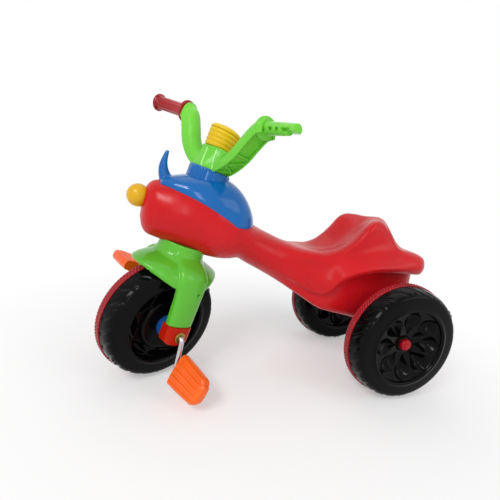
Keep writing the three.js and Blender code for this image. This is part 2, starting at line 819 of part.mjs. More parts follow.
function gripRing(radius, flute, z) {
  const sides = 24;
  return Array.from({ length: sides }, (_, i) => {
    const reach = radius - (i % 2 ? flute : 0);
    const angle = (2 * Math.PI * i) / sides;
    return new THREE.Vector3(reach * Math.cos(angle), reach * Math.sin(angle), z);
  });
}

function grip() {
  const wall = gripFlangeThickness;
  const outer = loft([
    gripRing(gripInnerFlange, 0, 0),
    gripRing(gripInnerFlange, 0, wall),
    gripRing(gripRadius, gripFlute, wall * 1.6),
    gripRing(gripRadius, gripFlute, gripLength - wall * 1.8),
    gripRing(gripOuterFlange, 0, gripLength - wall * 1.1),
    gripRing(gripOuterFlange, 0, gripLength - wall * 0.3),
    gripRing(gripOuterFlange * 0.82, 0, gripLength),
  ], (point) => new THREE.Vector2(point.x, point.y));
  const depth = gripLength - gripFlangeThickness + runningGap;
  const bore = turned([
    [0, -overrun], [coreRootRadius + runningGap, -overrun], [coreRootRadius + runningGap, 0],
    [coreTipRadius + runningGap, depth], [0, depth],
  ]);
  return cut(outer, bore);
}

// Bellows with a pressed cap
function bellowsBody() {
  const foot = seatGap;
  const top = foot + bellowsHeight - bellowsCapHeight;
  const fold = (top - foot) / bellowsFolds;
  const radiusAt = (z) => THREE.MathUtils.mapLinear(z, foot, top, bellowsFootRadius, bellowsRadius);
  const profile = [[0, foot]];
  for (let i = 0; i < bellowsFolds; i++) {
    const z = foot + i * fold;
    profile.push([radiusAt(z) - bellowsFoldDepth, z]);
    profile.push([radiusAt(z), z + fold * 0.35]);
    profile.push([radiusAt(z + fold), z + fold * 0.65]);
  }
  profile.push([bellowsRadius - bellowsFoldDepth, top], [0, top]);
  return turned(profile);
}

function bellowsCap() {
  const foot = seatGap + bellowsHeight - bellowsCapHeight + seatGap;
  const profile = [[0, foot], [bellowsRadius * 0.97, foot], [bellowsRadius, foot + bellowsCapHeight * 0.3]];
  const steps = 3;
  for (let i = 1; i <= steps; i++) {
    const angle = (Math.PI / 2) * (i / steps);
    profile.push([bellowsRadius * Math.cos(angle), foot + bellowsCapHeight * (0.3 + 0.9 * Math.sin(angle))]);
  }
  profile[profile.length - 1][0] = 0;
  return turned(profile);
}

// Fork: a round neck, a domed fender and two legs in one moulding. The fender is swept about the axle;
// towards its tips it lifts, narrows and loses its skirt.
function fenderRing(turn) {
  const steps = 9;
  const share = Math.abs(turn) / fenderHalfAngle;
  const left = 1 - share ** 3;
  const half = Math.max(fenderHalfWidth * left ** 0.55, fenderTipHalfWidth);
  const drop = fenderDrop * left + fenderWall;
  const crown = fenderRadius + fenderTipLift * share ** 2.5;
  const point = (angle, inset) => {
    const radius = crown - inset - drop * (1 - Math.cos(angle));
    const y = (half - inset) * Math.sin(angle);
    return new THREE.Vector3(radius * Math.sin(turn), y, radius * Math.cos(turn));
  };
  const angles = Array.from({ length: steps + 1 }, (_, i) => -Math.PI / 2 + (Math.PI * i) / steps);
  const outer = angles.map((angle) => point(angle, 0));
  const inner = angles.reverse().map((angle) => point(angle, fenderWall));
  return [...outer, ...inner];
}

function fender() {
  const count = 12;
  const rings = Array.from({ length: count + 1 }, (_, i) => {
    const t = Math.sin(Math.PI * (i / count - 0.5));
    return fenderRing(fenderHalfAngle * t);
  });
  return loft(rings, (point) => new THREE.Vector2(point.y, Math.hypot(point.x, point.z)));
}

// One level of a leg: flat inside, bowed outside between two thin edges.
function legSection(halfWidth, inner, edge, outer, z, side) {
  const bow = outer - edge;
  return [
    [-halfWidth, inner], [-halfWidth, edge], [-halfWidth * 0.8, edge + bow * 0.5],
    [-halfWidth * 0.42, edge + bow * 0.9], [0, outer], [halfWidth * 0.42, edge + bow * 0.9],
    [halfWidth * 0.8, edge + bow * 0.5], [halfWidth, edge], [halfWidth, inner],
  ].map(([x, y]) => new THREE.Vector3(x, side * y, z));
}

// Levels of a leg from its foot up over the fender to the neck: the height as a share of the way to the
// fender's crown, then shares of the leg's half width, its inner face, its edge and its bowed face.
const legLevels = [
  [0, 0.93, 1, 1, 1], [0.35, 0.96, 1, 0.97, 0.99], [0.62, 1, 0.98, 0.93, 0.965], [0.78, 1, 0.9, 0.88, 0.92],
  [0.86, 0.96, 0.72, 0.74, 0.77], [0.93, 0.86, 0.48, 0.5, 0.54],
];

function leg(side) {
  const reach = fenderRadius - legFoot;
  const rings = legLevels.map(([height, width, inner, edge, outer]) => legSection(
    width * legHalfWidth, inner * legInner, edge * legEdge, outer * legOuter, legFoot + height * reach, side));
  return loft(rings, (point) => new THREE.Vector2(point.x, point.y));
}

function fork() {
  const neck = turned([
    [0, fenderRadius - 2 * fenderWall], [neckRadius, fenderRadius - 2 * fenderWall],
    [neckRadius, neckTop], [0, neckTop],
  ]);
  const whole = joined(fender(), neck, leg(1), leg(-1));
  const socket = rod(columnRadius + seatGap, columnBottom - overrun, neckTop + overrun);
  return cut(whole, socket, legScrewHole(1), legScrewHole(-1));
}

function legScrewHole(side) {
  const hole = rod(legScrewRadius + runningGap, legInner + fenderWall, legOuter + overrun, smallSides);
  return sideways(hole, side, legScrewHeight, legScrewBack);
}

// Lays a shape made along +Z onto the side of the fork or the wheel: its +Z points outwards.
function sideways(geometry, side, height = 0, back = 0) {
  const placed = geometry.clone();
  placed.rotateX((-side * Math.PI) / 2);
  placed.translate(back, 0, height);
  return placed;
}

function legScrew() {
  const seat = legInner + fenderWall + seatGap;
  return rod(legScrewRadius, seat, legEdge + fenderWall, smallSides);
}

function axleCap(side) {
  const top = legFoot - seatGap;
  const foot = legFootHalfWidth;
  const outer = legOuter + capProud;
  const edge = legEdge + capProud;
  const rings = [
    legSection(foot * 0.8, capInner, edge, outer, -capDepth, side),
    legSection(foot * 0.97, capInner, edge, outer, -capDepth * 0.75, side),
    legSection(foot, capInner, edge, outer, top, side),
  ];
  const body = loft(rings, (point) => new THREE.Vector2(point.x, point.y));
  const bore = rod(boreRadius(axleRadius, smallSides), 0, outer + overrun, smallSides);
  return cut(body, sideways(bore, side));
}

// Wheels. The profile runs round one half shell; a petal factor lifts the dish between hub and rim. The
// half on the rider's left is full, with lugs; the half behind it slopes away from the band.
const fullRim = { edge: shellEdgeRadius, shoulder: shoulderRadius, fall: 0, lugs: 1 };
const slopedRim = { edge: backEdgeRadius, shoulder: backShoulderRadius, fall: 0.35, lugs: 0 };

function shellProfile(hub, rim, petal, lug) {
  const bore = boreRadius(axleRadius, smallSides);
  const ringTop = shellHalfWidth + rimRingProud;
  const floor = shellHalfWidth - dishDepth;
  const dishInner = hub.radius + rimRingWidth * 0.6;
  const dishOuter = rimRingRadius - rimRingWidth;
  const across = (share) => THREE.MathUtils.lerp(dishInner, dishOuter, share);
  const lift = (share) => petal * petalHeight * Math.sin(Math.PI * share) ** 0.7;
  const rise = (share) => THREE.MathUtils.lerp(Math.min(hub.out, floor + petalHeight), floor + petalHeight, share);
  return [
    [bore, seatGap / 2],
    [wheelRadius - bandDepth - seatGap, seatGap / 2],
    [wheelRadius - bandDepth - seatGap, bandHalfWidth + seatGap],
    [rim.edge, bandHalfWidth + seatGap],
    [
      THREE.MathUtils.lerp(rim.edge, rim.shoulder, rim.fall) - lug * lugDepth,
      THREE.MathUtils.lerp(bandHalfWidth, shellHalfWidth, 0.35),
    ],
    [rim.shoulder - lug * lugDepth * 1.5, shellHalfWidth - rimRingProud * 0.6],
    [THREE.MathUtils.lerp(rimRingRadius + rimRingWidth / 2, rim.shoulder, 0.6), shellHalfWidth + rimRingProud * 0.25],
    [rimRingRadius, ringTop],
    [dishOuter + rimRingWidth * 0.3, ringTop - rimRingProud * 0.4],
    [across(0.93), rise(1) - petalHeight * (1 - petal)],
    [across(0.55), rise(0.55) - petalHeight + lift(0.55)],
    [across(0.12), rise(0.12) - petalHeight + lift(0.12)],
    [hub.radius, hub.out],
    [bore, hub.out],
  ];
}

function wheelShell(hub, rim) {
  const rings = Array.from({ length: wheelSides }, (_, i) => {
    const angle = (2 * Math.PI * (i + 0.5)) / wheelSides;
    const phase = ((i % (wheelSides / petals)) / (wheelSides / petals)) * 2 * Math.PI;
    const petal = 0.5 + 0.5 * Math.cos(phase);
    const lug = rim.lugs * (i % 2);
    return shellProfile(hub, rim, petal, lug).map(([radius, out]) => new THREE.Vector3(
      radius * Math.cos(angle), radius * Math.sin(angle), out));
  });
  return loft(rings);
}

const rearHub = { radius: rearHubRadius, out: rearHubOut };
const frontHub = { radius: frontHubRadius, out: frontHubOut };

function treadBand() {
  const inner = wheelRadius - bandDepth;
  const band = tube(wheelRadius, inner, -bandHalfWidth, bandHalfWidth, wheelSides);
  band.rotateZ(Math.PI / wheelSides);
  return band;
}

function hubDisc() {
  const from = frontHubOut + seatGap;
  const to = capInner - runningGap * 2;
  const bore = boreRadius(axleRadius, smallSides);
  return turned([
    [bore, from], [hubDiscRadius, from], [hubDiscRadius, to - washerThickness], [hubDiscRadius * 0.86, to],
    [bore, to], [bore, from],
  ], discSides);
}

function hubCap(from) {
  const steps = 4;
  const profile = [[0, from], [hubCapRadius, from]];
  for (let i = 1; i <= steps; i++) {
    const angle = (Math.PI / 2) * (i / steps);
    profile.push([hubCapRadius * Math.cos(angle), from + hubCapHeight * (0.35 + 0.65 * Math.sin(angle))]);
  }
  profile[profile.length - 1][0] = 0;
  const socket = rod(axleRadius + seatGap, from - overrun, from + hubCapHeight * 0.5, smallSides);
  return cut(turned(profile, smallSides), socket);
}

// Crank: one bent rod through the front wheel, with an arm and a pedal spindle at each end.
function crankRod() {
  const path = new THREE.CurvePath();
  const spindleEnd = pedalOuter - pedalNotch;
  const corners = [
    [-spindleEnd, -crankThrow], [-crankOut, -crankThrow], [-crankOut, 0], [crankOut, 0],
    [crankOut, crankThrow], [spindleEnd, crankThrow],
  ].map(([y, z]) => new THREE.Vector3(0, y, z));
  let from = corners[0];
  for (let i = 1; i < corners.length - 1; i++) {
    const corner = corners[i];
    const before = corner.clone().add(corners[i - 1].clone().sub(corner).setLength(crankBend));
    const after = corner.clone().add(corners[i + 1].clone().sub(corner).setLength(crankBend));
    path.add(new THREE.LineCurve3(from, before));
    path.add(new THREE.QuadraticBezierCurve3(before, corner, after));
    from = after;
  }
  path.add(new THREE.LineCurve3(from, corners[corners.length - 1]));
  const section = new THREE.Shape();
  section.absarc(0, 0, axleRadius, 0, 2 * Math.PI, false);
  const steps = Math.round(path.getLength() / (2 * axleRadius));
  return new THREE.ExtrudeGeometry(section, { extrudePath: path, steps, curveSegments: 4, bevelEnabled: false });
}

// Pedal: a tapering rounded block with lengthwise ribs and a notch at its outer end.
function pedalRing(width, thickness, z, ribDepth) {
  const cells = pedalRibs * 2;
  const top = Array.from({ length: cells + 1 }, (_, i) => {
    const x = -width / 2 + (width * i) / cells;
    const crown = 1 - 0.35 * Math.abs((2 * i) / cells - 1) ** 3;
    return [x, (thickness / 2) * crown - (i % 2 ? 0 : ribDepth)];
  });
  const bottom = top.map(([x, y]) => [x, -y]).reverse();
  return [...top, ...bottom].map(([x, y]) => new THREE.Vector3(x, y, z));
}

// Levels of a pedal from its inner end: shares of its length, then of the way from its tip width to its
// full width (below zero where the end rounds in), of its thickness and of its rib depth.
const pedalLevels = [
  [0, 1, 0.94, 0], [0.05, 1, 1, 1], [0.76, 0.08, 0.97, 1], [0.88, -0.3, 0.92, 0.6], [0.96, -1.1, 0.84, 0], [1, -1.9, 0.7, 0],
];

function pedal() {
  const rings = pedalLevels.map(([length, wide, thick, rib]) => pedalRing(
    pedalTipWidth + wide * (pedalWidth - pedalTipWidth), thick * pedalThickness,
    pedalInner + length * (pedalOuter - pedalInner), rib * pedalRibDepth));
  const body = loft(rings, (point) => new THREE.Vector2(point.x, point.y));
  const bore = rod(boreRadius(axleRadius, smallSides), pedalInner - overrun, pedalOuter + overrun, smallSides);
  const notch = rod(pedalNotchRadius, pedalOuter - pedalNotch * 1.6, pedalOuter + overrun, smallSides);
  return cut(body, bore, notch);
}

// Assembly of the fixed body
add(model, 'body_shell', bodyShell(), red);
add(model, 'head_cover', headCover(), blue);
add(model, 'nose_ball', ball(ballRadius, 16, 10), yellow);
const axleReach = rearTrack / 2 + rearHubOut + hubCapHeight * 0.45;
add(model, 'rear_axle', crosswise(rod(axleRadius, -axleReach, axleReach, smallSides), 0, wheelRadius), steel);

// Rear wheels, with their spacers and hub caps
function rearWheel(side, sideName) {
  const wheel = new THREE.Group();
  wheel.position.set(0, (side * rearTrack) / 2, wheelRadius);
  wheel.rotation.x = (-side * Math.PI) / 2;
  const inner = new THREE.Group();
  inner.rotation.x = Math.PI;
  wheel.add(inner);
  const [outerRim, innerRim] = side < 0 ? [fullRim, slopedRim] : [slopedRim, fullRim];
  add(wheel, `${sideName}_wheel_outer_shell`, wheelShell(rearHub, outerRim), black);
  add(inner, `${sideName}_wheel_inner_shell`, wheelShell(rearHub, innerRim), black);
  add(wheel, `${sideName}_wheel_tread_band`, treadBand(), bandRed);
  add(wheel, `${sideName}_hub_cap`, hubCap(rearHubOut + runningGap), red);
  const bodySide = saddleWallHalfWidth - rearTrack / 2 + seatGap;
  const spacer = tube(spacerRadius, boreRadius(axleRadius, smallSides), bodySide, -rearHubOut - runningGap, smallSides);
  add(wheel, `${sideName}_wheel_spacer`, spacer, red);
  model.add(wheel);
}
rearWheel(-1, 'rear_left');
rearWheel(1, 'rear_right');

// Steered pieces
add(steering, 'fork', fork(), green);
add(steering, 'steering_column', rod(columnRadius, columnBottom, columnTop, smallSides), steel);
add(steering, 'handlebar', handlebar(), green);
add(steering, 'right_grip', onGrip(grip(), 1), darkRed);

// The bellows stands on the stem's tilted top.
const perchTop = new THREE.Group();
perchTop.position.z = stemTop;
perchTop.rotation.y = perch;
steering.add(perchTop);
add(perchTop, 'bellows', bellowsBody(), yellow);
add(perchTop, 'bellows_cap', bellowsCap(), yellow);

const sides = [[-1, 'left'], [1, 'right']];
for (const [side, sideName] of sides) {
  add(steering, `${sideName}_axle_cap`, axleCap(side), red);
  add(steering, `${sideName}_leg_screw`, sideways(legScrew(), side, legScrewHeight, legScrewBack), steel);
}

// Front wheel on its crank
const crank = new THREE.Group();
crank.rotation.y = crankDegrees * degree;
steering.add(crank);
for (const [side, sideName] of sides) {
  const rim = side < 0 ? fullRim : slopedRim;
  add(crank, `front_wheel_${sideName}_shell`, sideways(wheelShell(frontHub, rim), side), black);
  add(crank, `front_${sideName}_hub_disc`, sideways(hubDisc(), side), blue);
  const washerFrom = legOuter + capProud + seatGap;
  const washer = tube(washerRadius, boreRadius(axleRadius, smallSides), washerFrom, washerFrom + washerThickness, smallSides);
  add(crank, `${sideName}_axle_washer`, sideways(washer, side), brass);
}
add(crank, 'front_wheel_tread_band', sideways(treadBand(), 1), bandRed);
add(crank, 'crank', crankRod(), chrome);

// Pedals, each turning on its spindle
for (const [side, sideName] of sides) {
  const spindle = new THREE.Group();
  spindle.position.z = side * crankThrow;
  const tilt = side < 0 ? leftPedalDegrees : rightPedalDegrees;
  spindle.rotation.y = (tilt - crankDegrees) * degree;
  crank.add(spindle);
  const upright = pedal();
  upright.rotateZ(Math.PI / 2);
  add(spindle, `${sideName}_pedal`, sideways(upright, side), orange);
  const capFrom = pedalOuter - pedalNotch + seatGap;
  const capRadius = pedalNotchRadius * 0.8;
  const capProfile = [[0, capFrom], [capRadius, capFrom], [capRadius * 0.7, capFrom + pedalNotch], [0, capFrom + pedalNotch]];
  add(spindle, `${sideName}_pedal_cap`, sideways(turned(capProfile, smallSides), side), chrome);
}

// The origin is the middle of the footprint, at the floor.
model.updateMatrixWorld(true);
const bounds = new THREE.Box3().setFromObject(model, true);
model.position.set(-(bounds.min.x + bounds.max.x) / 2, -(bounds.min.y + bounds.max.y) / 2, -bounds.min.z);
model.updateMatrixWorld(true);

export default model;
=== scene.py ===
"""Looks of a child's pedal tricycle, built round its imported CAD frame.

Every piece is made in millimetres in the frame of what carries it, and placed in the row frame in metres.
X runs to the rear, Y to the rider's right, Z up.
"""

import json
import math

import bmesh
import bpy
import numpy as np
from mathutils import Matrix, Vector


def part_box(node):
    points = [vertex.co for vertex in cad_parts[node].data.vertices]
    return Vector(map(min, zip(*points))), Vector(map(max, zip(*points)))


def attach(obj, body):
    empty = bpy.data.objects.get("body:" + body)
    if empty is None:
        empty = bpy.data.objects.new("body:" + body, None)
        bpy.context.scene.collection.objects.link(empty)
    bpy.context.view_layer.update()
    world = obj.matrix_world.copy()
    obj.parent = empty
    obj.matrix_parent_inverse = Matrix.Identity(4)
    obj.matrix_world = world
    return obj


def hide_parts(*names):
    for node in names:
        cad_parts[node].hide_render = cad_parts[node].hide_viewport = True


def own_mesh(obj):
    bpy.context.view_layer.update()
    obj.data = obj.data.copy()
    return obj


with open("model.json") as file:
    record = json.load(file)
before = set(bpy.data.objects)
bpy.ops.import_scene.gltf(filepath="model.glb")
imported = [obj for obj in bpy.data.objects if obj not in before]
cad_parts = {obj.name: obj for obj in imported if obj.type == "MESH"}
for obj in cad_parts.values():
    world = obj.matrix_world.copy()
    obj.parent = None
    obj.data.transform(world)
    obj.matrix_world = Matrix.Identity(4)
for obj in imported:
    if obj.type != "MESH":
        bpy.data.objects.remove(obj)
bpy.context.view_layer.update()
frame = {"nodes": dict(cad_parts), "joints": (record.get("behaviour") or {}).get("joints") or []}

MM = 0.001
TAU = 2 * math.pi

# Sizes shared with the CAD source, in millimetres.
WHEEL_RADIUS = 100
WHEELBASE = 398.4
CASTER = math.radians(15.5)
STEER = math.radians(26.3)
NOSE_REACH, TAIL_REACH = 35, 72.6
HEAD_CLEARANCE, AXLE_COVER, SADDLE_RISE = 8, 10.1, 68.4
BODY_HALF_WIDTH = 82
WALL_HALF_WIDTH = 61
COVER_PROUD = 1.5
COLLAR_RADIUS, COLLAR_HEIGHT, COLLAR_STAND, COLLAR_NOTCHES, COLLAR_NOTCH = 33.5, 17, 7.9, 12, 0.9
STEM_RADIUS, STEM_RISE = 29.5, 32.5
FENDER_RADIUS = WHEEL_RADIUS + 17
NECK_RADIUS, NECK_STAND = 38, 15
BAND_HALF_WIDTH, BAND_DEPTH = 8.5, 11
SHELL_HALF_WIDTH = 33
PEDAL_INNER, PEDAL_OUTER = 87, 154
AXLE_RADIUS = 4
GAP = 0.3

BODY_LENGTH = NOSE_REACH + WHEELBASE + TAIL_REACH
NOSE_X = -WHEELBASE - NOSE_REACH
NECK_TOP = FENDER_RADIUS + NECK_STAND
WHEEL_LEAN = math.asin(math.sin(CASTER) * math.sin(STEER))
FRONT_AXLE = WHEEL_RADIUS * math.cos(WHEEL_LEAN) + BAND_HALF_WIDTH * math.sin(WHEEL_LEAN)
AXLE_SHARE, HEAD_UNDER_SHARE = 0.31, 0.764
AXLE_LEVEL = WHEEL_RADIUS - AXLE_COVER
HEAD_UNDER_LEVEL = FRONT_AXLE + FENDER_RADIUS * math.cos(CASTER) + HEAD_CLEARANCE


def level(share):
    """The height that a share of the saddle's height stands for, by the same rule as in the CAD source."""
    share = np.asarray(share, float)
    low = AXLE_LEVEL + (share - AXLE_SHARE) / (HEAD_UNDER_SHARE - AXLE_SHARE) * (HEAD_UNDER_LEVEL - AXLE_LEVEL)
    high = HEAD_UNDER_LEVEL + SADDLE_RISE * (share - HEAD_UNDER_SHARE) / (1 - HEAD_UNDER_SHARE)
    return np.where(share > HEAD_UNDER_SHARE, high, low)


COLLAR_TOP = (float(level(1.1707)) - FRONT_AXLE) / math.cos(CASTER) + COLLAR_STAND
STEM_TOP = COLLAR_TOP + STEM_RISE


# Placing

def joint(name):
    return next(j for j in frame["joints"] if j["name"] == name)


def frame_of(x, y, z, origin):
    """A matrix from millimetres in a local frame to metres in the row frame."""
    m = np.eye(4)
    for column, axis in enumerate((x, y, z)):
        m[:3, column] = np.array(axis) * MM
    m[:3, 3] = origin
    return m


def turned_about_y(base, angle):
    c, s = math.cos(angle), math.sin(angle)
    return base @ np.array([[c, 0, s, 0], [0, 1, 0, 0], [-s, 0, c, 0], [0, 0, 0, 1]])


def moved(base, x=0.0, y=0.0, z=0.0):
    shift = np.eye(4)
    shift[:3, 3] = (x, y, z)
    return base @ shift


def outwards(base, side):
    """The frame whose +Z points out of that side of a wheel or fork: -1 is the left."""
    return base @ np.array([[1, 0, 0, 0], [0, 0, side, 0], [0, -side, 0, 0], [0, 0, 0, 1]])


axle_low, axle_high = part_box("rear_axle")
rear_axle = (axle_low + axle_high) / 2
BODY = frame_of((1, 0, 0), (0, 1, 0), (0, 0, 1), rear_axle - Vector((0, 0, WHEEL_RADIUS * MM)))

steering_joint = joint("steering")
steer_up = Vector(steering_joint["axis"]).normalized()
steer_right = Vector(joint("front_wheel_spin")["axis"]).normalized()
STEERED = frame_of(steer_right.cross(steer_up), steer_right, steer_up, steering_joint["pos_m"])

left_pedal_at = Vector(joint("left_pedal_spin")["pos_m"])
right_pedal_at = Vector(joint("right_pedal_spin")["pos_m"])
crank_up = (right_pedal_at - left_pedal_at).normalized()
CRANK = frame_of(steer_right.cross(crank_up), steer_right, crank_up, steering_joint["pos_m"])
CRANK_THROW = (right_pedal_at - left_pedal_at).length / 2 / MM
PEDAL_TURNS = {-1: math.radians(14), 1: math.radians(99)}

perch_up = -Vector(joint("bellows_squeeze")["axis"]).normalized()
perch_turn = math.acos(max(-1.0, min(1.0, perch_up.dot(steer_up))))
PERCH = turned_about_y(moved(STEERED, z=STEM_TOP), perch_turn)


# Meshes

def new_object(name, mesh):
    obj = bpy.data.objects.new(name, mesh)
    bpy.context.scene.collection.objects.link(obj)
    return obj


def skin(name, points, faces, base, sharp=40):
    """A smooth-shaded object from millimetre points in a local frame."""
    placed = np.c_[np.asarray(points, float), np.ones(len(points))] @ base.T
    mesh = bpy.data.meshes.new(name)
    mesh.from_pydata(placed[:, :3].tolist(), [], [list(map(int, f)) for f in faces])
    bm = bmesh.new()
    bm.from_mesh(mesh)
    bmesh.ops.remove_doubles(bm, verts=bm.verts, dist=1e-6)
    bmesh.ops.recalc_face_normals(bm, faces=bm.faces)
    bm.to_mesh(mesh)
    bm.free()
    mesh.shade_smooth()
    mesh.set_sharp_from_angle(angle=math.radians(sharp))
    return new_object(name, mesh)


def grid_faces(rows, columns, closed_rows=False, closed_columns=True):
    faces = []
    for r in range(rows if closed_rows else rows - 1):
        for c in range(columns if closed_columns else columns - 1):
            a, b = r * columns + c, r * columns + (c + 1) % columns
            n = (r + 1) % rows
            faces.append((a, b, n * columns + (c + 1) % columns, n * columns + c))
    return faces


def lofted(name, rings, base, caps=True, closed=False, sharp=40):
    rings = np.asarray(rings, float)
    rows, columns = rings.shape[:2]
    faces = grid_faces(rows, columns, closed_rows=closed)
    if caps and not closed:
        faces.append(list(range(columns)))
        faces.append(list(range((rows - 1) * columns, rows * columns)))
    return skin(name, rings.reshape(-1, 3), faces, base, sharp)


def turned(name, profile, base, sides=96, sharp=40):
    """A turned solid about +Z through [radius, z] pairs."""
    angles = np.arange(sides) * TAU / sides
    rings = [[(r * math.cos(a), r * math.sin(a), z) for a in angles] for r, z in profile]
    return lofted(name, rings, base, caps=False, sharp=sharp)


def smoothstep(low, high, value):
    t = np.clip((np.asarray(value, float) - low) / (high - low), 0, 1)
    return t * t * (3 - 2 * t)


def rail(table, shares):
    """Values along a rail, by the same smooth rule as the CAD source."""
    xs = np.array([p[0] for p in table], float)
    ys = np.array([p[1] for p in table], float)
    slope = np.diff(ys) / np.diff(xs)
    tangent = np.zeros(len(xs))
    tangent[0], tangent[-1] = slope[0], slope[-1]
    same = slope[:-1] * slope[1:] > 0
    total = np.where(same, slope[:-1] + slope[1:], 1)
    tangent[1:-1] = np.where(same, 2 * slope[:-1] * slope[1:] / total, 0)
    s = np.clip(np.asarray(shares, float), xs[0], xs[-1])
    k = np.clip(np.searchsorted(xs, s, side="right") - 1, 0, len(xs) - 2)
    width = xs[k + 1] - xs[k]
    t = (s - xs[k]) / width
    start = (1 + 2 * t) * (1 - t) ** 2 * ys[k] + t * (1 - t) ** 2 * width * tangent[k]
    end = t * t * (3 - 2 * t) * ys[k + 1] + t * t * (t - 1) * width * tangent[k + 1]
    return start + end


def closed_spline(points, per_span):
    """A closed centripetal curve through the points, each span cut in per_span steps."""
    p = np.asarray(points, float)
    p0, p1, p2, p3 = np.roll(p, 1, 0), p, np.roll(p, -1, 0), np.roll(p, -2, 0)

    def span(a, b):
        return np.maximum(np.sum((b - a) ** 2, 1) ** 0.25, 1e-4)[:, None]

    d0, d1, d2 = span(p0, p1), span(p1, p2), span(p2, p3)
    t1 = ((p1 - p0) / d0 - (p2 - p0) / (d0 + d1) + (p2 - p1) / d1) * d1
    t2 = ((p2 - p1) / d1 - (p3 - p1) / (d1 + d2) + (p3 - p2) / d2) * d1
    out = []
    for step in range(per_span):
        t = step / per_span
        out.append((2 * t**3 - 3 * t**2 + 1) * p1 + (t**3 - 2 * t**2 + t) * t1
                   + (3 * t**2 - 2 * t**3) * p2 + (t**3 - t**2) * t2)
    return np.stack(out, 1).reshape(-1, p.shape[1])


def applied(obj):
    """Turns the object's modifiers into its mesh."""
    graph = bpy.context.evaluated_depsgraph_get()
    mesh = bpy.data.meshes.new_from_object(obj.evaluated_get(graph))
    obj.modifiers.clear()
    obj.data = mesh
    return obj


def joined(name, objects):
    """One object from several, in the row frame."""
    bm = bmesh.new()
    for obj in objects:
        bm.from_mesh(obj.data)
    mesh = bpy.data.meshes.new(name)
    bm.to_mesh(mesh)
    bm.free()
    for obj in objects:
        bpy.data.objects.remove(obj)
    return new_object(name, mesh)


def moulded(obj, voxel, rounds, sharp=60):
    """Fuses an object's overlapping forms into one skin and softens it by a few rounds of smoothing."""
    remesh = obj.modifiers.new("fuse", "REMESH")
    remesh.mode = "VOXEL"
    remesh.voxel_size = voxel * MM
    remesh.use_smooth_shade = True
    smooth = obj.modifiers.new("soften", "SMOOTH")
    smooth.factor = 0.5
    smooth.iterations = rounds
    applied(obj)
    obj.data.shade_smooth()
    obj.data.set_sharp_from_angle(angle=math.radians(sharp))
    return obj


def rounded(obj, width, segments=3, angle=30):
    """Rounds an object's hard edges."""
    bevel = obj.modifiers.new("edges", "BEVEL")
    bevel.width = width * MM
    bevel.segments = segments
    bevel.limit_method = "ANGLE"
    bevel.angle_limit = math.radians(angle)
    bevel.harden_normals = False
    applied(obj)
    obj.data.shade_smooth()
    obj.data.set_sharp_from_angle(angle=math.radians(50))
    return obj


# Materials

def srgb(red, green, blue):
    def linear(value):
        value /= 255
        return value / 12.92 if value <= 0.04045 else ((value + 0.055) / 1.055) ** 2.4
    return (linear(red), linear(green), linear(blue), 1)


def plastic(name, colour, shade, roughness=0.28, peel=0.06, streak=0.0, coat=0.0, specular=0.3, metallic=0.0,
            patch_scale=9.0, scuffs=0.25):
    """Moulded plastic: two close shades in soft patches, a fine peel, scuffed gloss, and flow streaks."""
    mat = bpy.data.materials.new(name)
    mat.use_nodes = True
    nodes, links = mat.node_tree.nodes, mat.node_tree.links
    shader = nodes["Principled BSDF"]
    shader.inputs["Metallic"].default_value = metallic
    shader.inputs["Specular IOR Level"].default_value = specular
    shader.inputs["Coat Weight"].default_value = coat
    shader.inputs["Coat Roughness"].default_value = 0.08
    place = nodes.new("ShaderNodeTexCoord").outputs["Object"]

    def noise(scale, detail, stretch=None):
        node = nodes.new("ShaderNodeTexNoise")
        node.inputs["Scale"].default_value = scale
        node.inputs["Detail"].default_value = detail
        if stretch is None:
            links.new(place, node.inputs["Vector"])
        else:
            mapping = nodes.new("ShaderNodeMapping")
            mapping.inputs["Scale"].default_value = stretch
            links.new(place, mapping.inputs["Vector"])
            links.new(mapping.outputs["Vector"], node.inputs["Vector"])
        return node.outputs["Fac"]

    def ramp(source, low, high, first, second):
        node = nodes.new("ShaderNodeMapRange")
        node.inputs["From Min"].default_value = low
        node.inputs["From Max"].default_value = high
        node.inputs["To Min"].default_value = first
        node.inputs["To Max"].default_value = second
        links.new(source, node.inputs["Value"])
        return node.outputs["Result"]

    mix = nodes.new("ShaderNodeMix")
    mix.data_type = "RGBA"
    mix.inputs["A"].default_value = srgb(*colour)
    mix.inputs["B"].default_value = srgb(*shade)
    links.new(ramp(noise(patch_scale, 3), 0.35, 0.65, 0, 1), mix.inputs["Factor"])
    links.new(mix.outputs["Result"], shader.inputs["Base Color"])
    scuff = ramp(noise(60, 6), 0.3, 0.8, roughness * (1 - scuffs), roughness * (1 + scuffs))
    links.new(scuff, shader.inputs["Roughness"])
    bump = nodes.new("ShaderNodeBump")
    bump.inputs["Strength"].default_value = peel
    bump.inputs["Distance"].default_value = 0.0003
    links.new(noise(500, 2), bump.inputs["Height"])
    last = bump
    if streak:
        flow = nodes.new("ShaderNodeBump")
        flow.inputs["Strength"].default_value = streak
        flow.inputs["Distance"].default_value = 0.001
        links.new(noise(30, 3, stretch=(0.12, 1.0, 1.4)), flow.inputs["Height"])
        links.new(bump.outputs["Normal"], flow.inputs["Normal"])
        last = flow
    links.new(last.outputs["Normal"], shader.inputs["Normal"])
    return mat


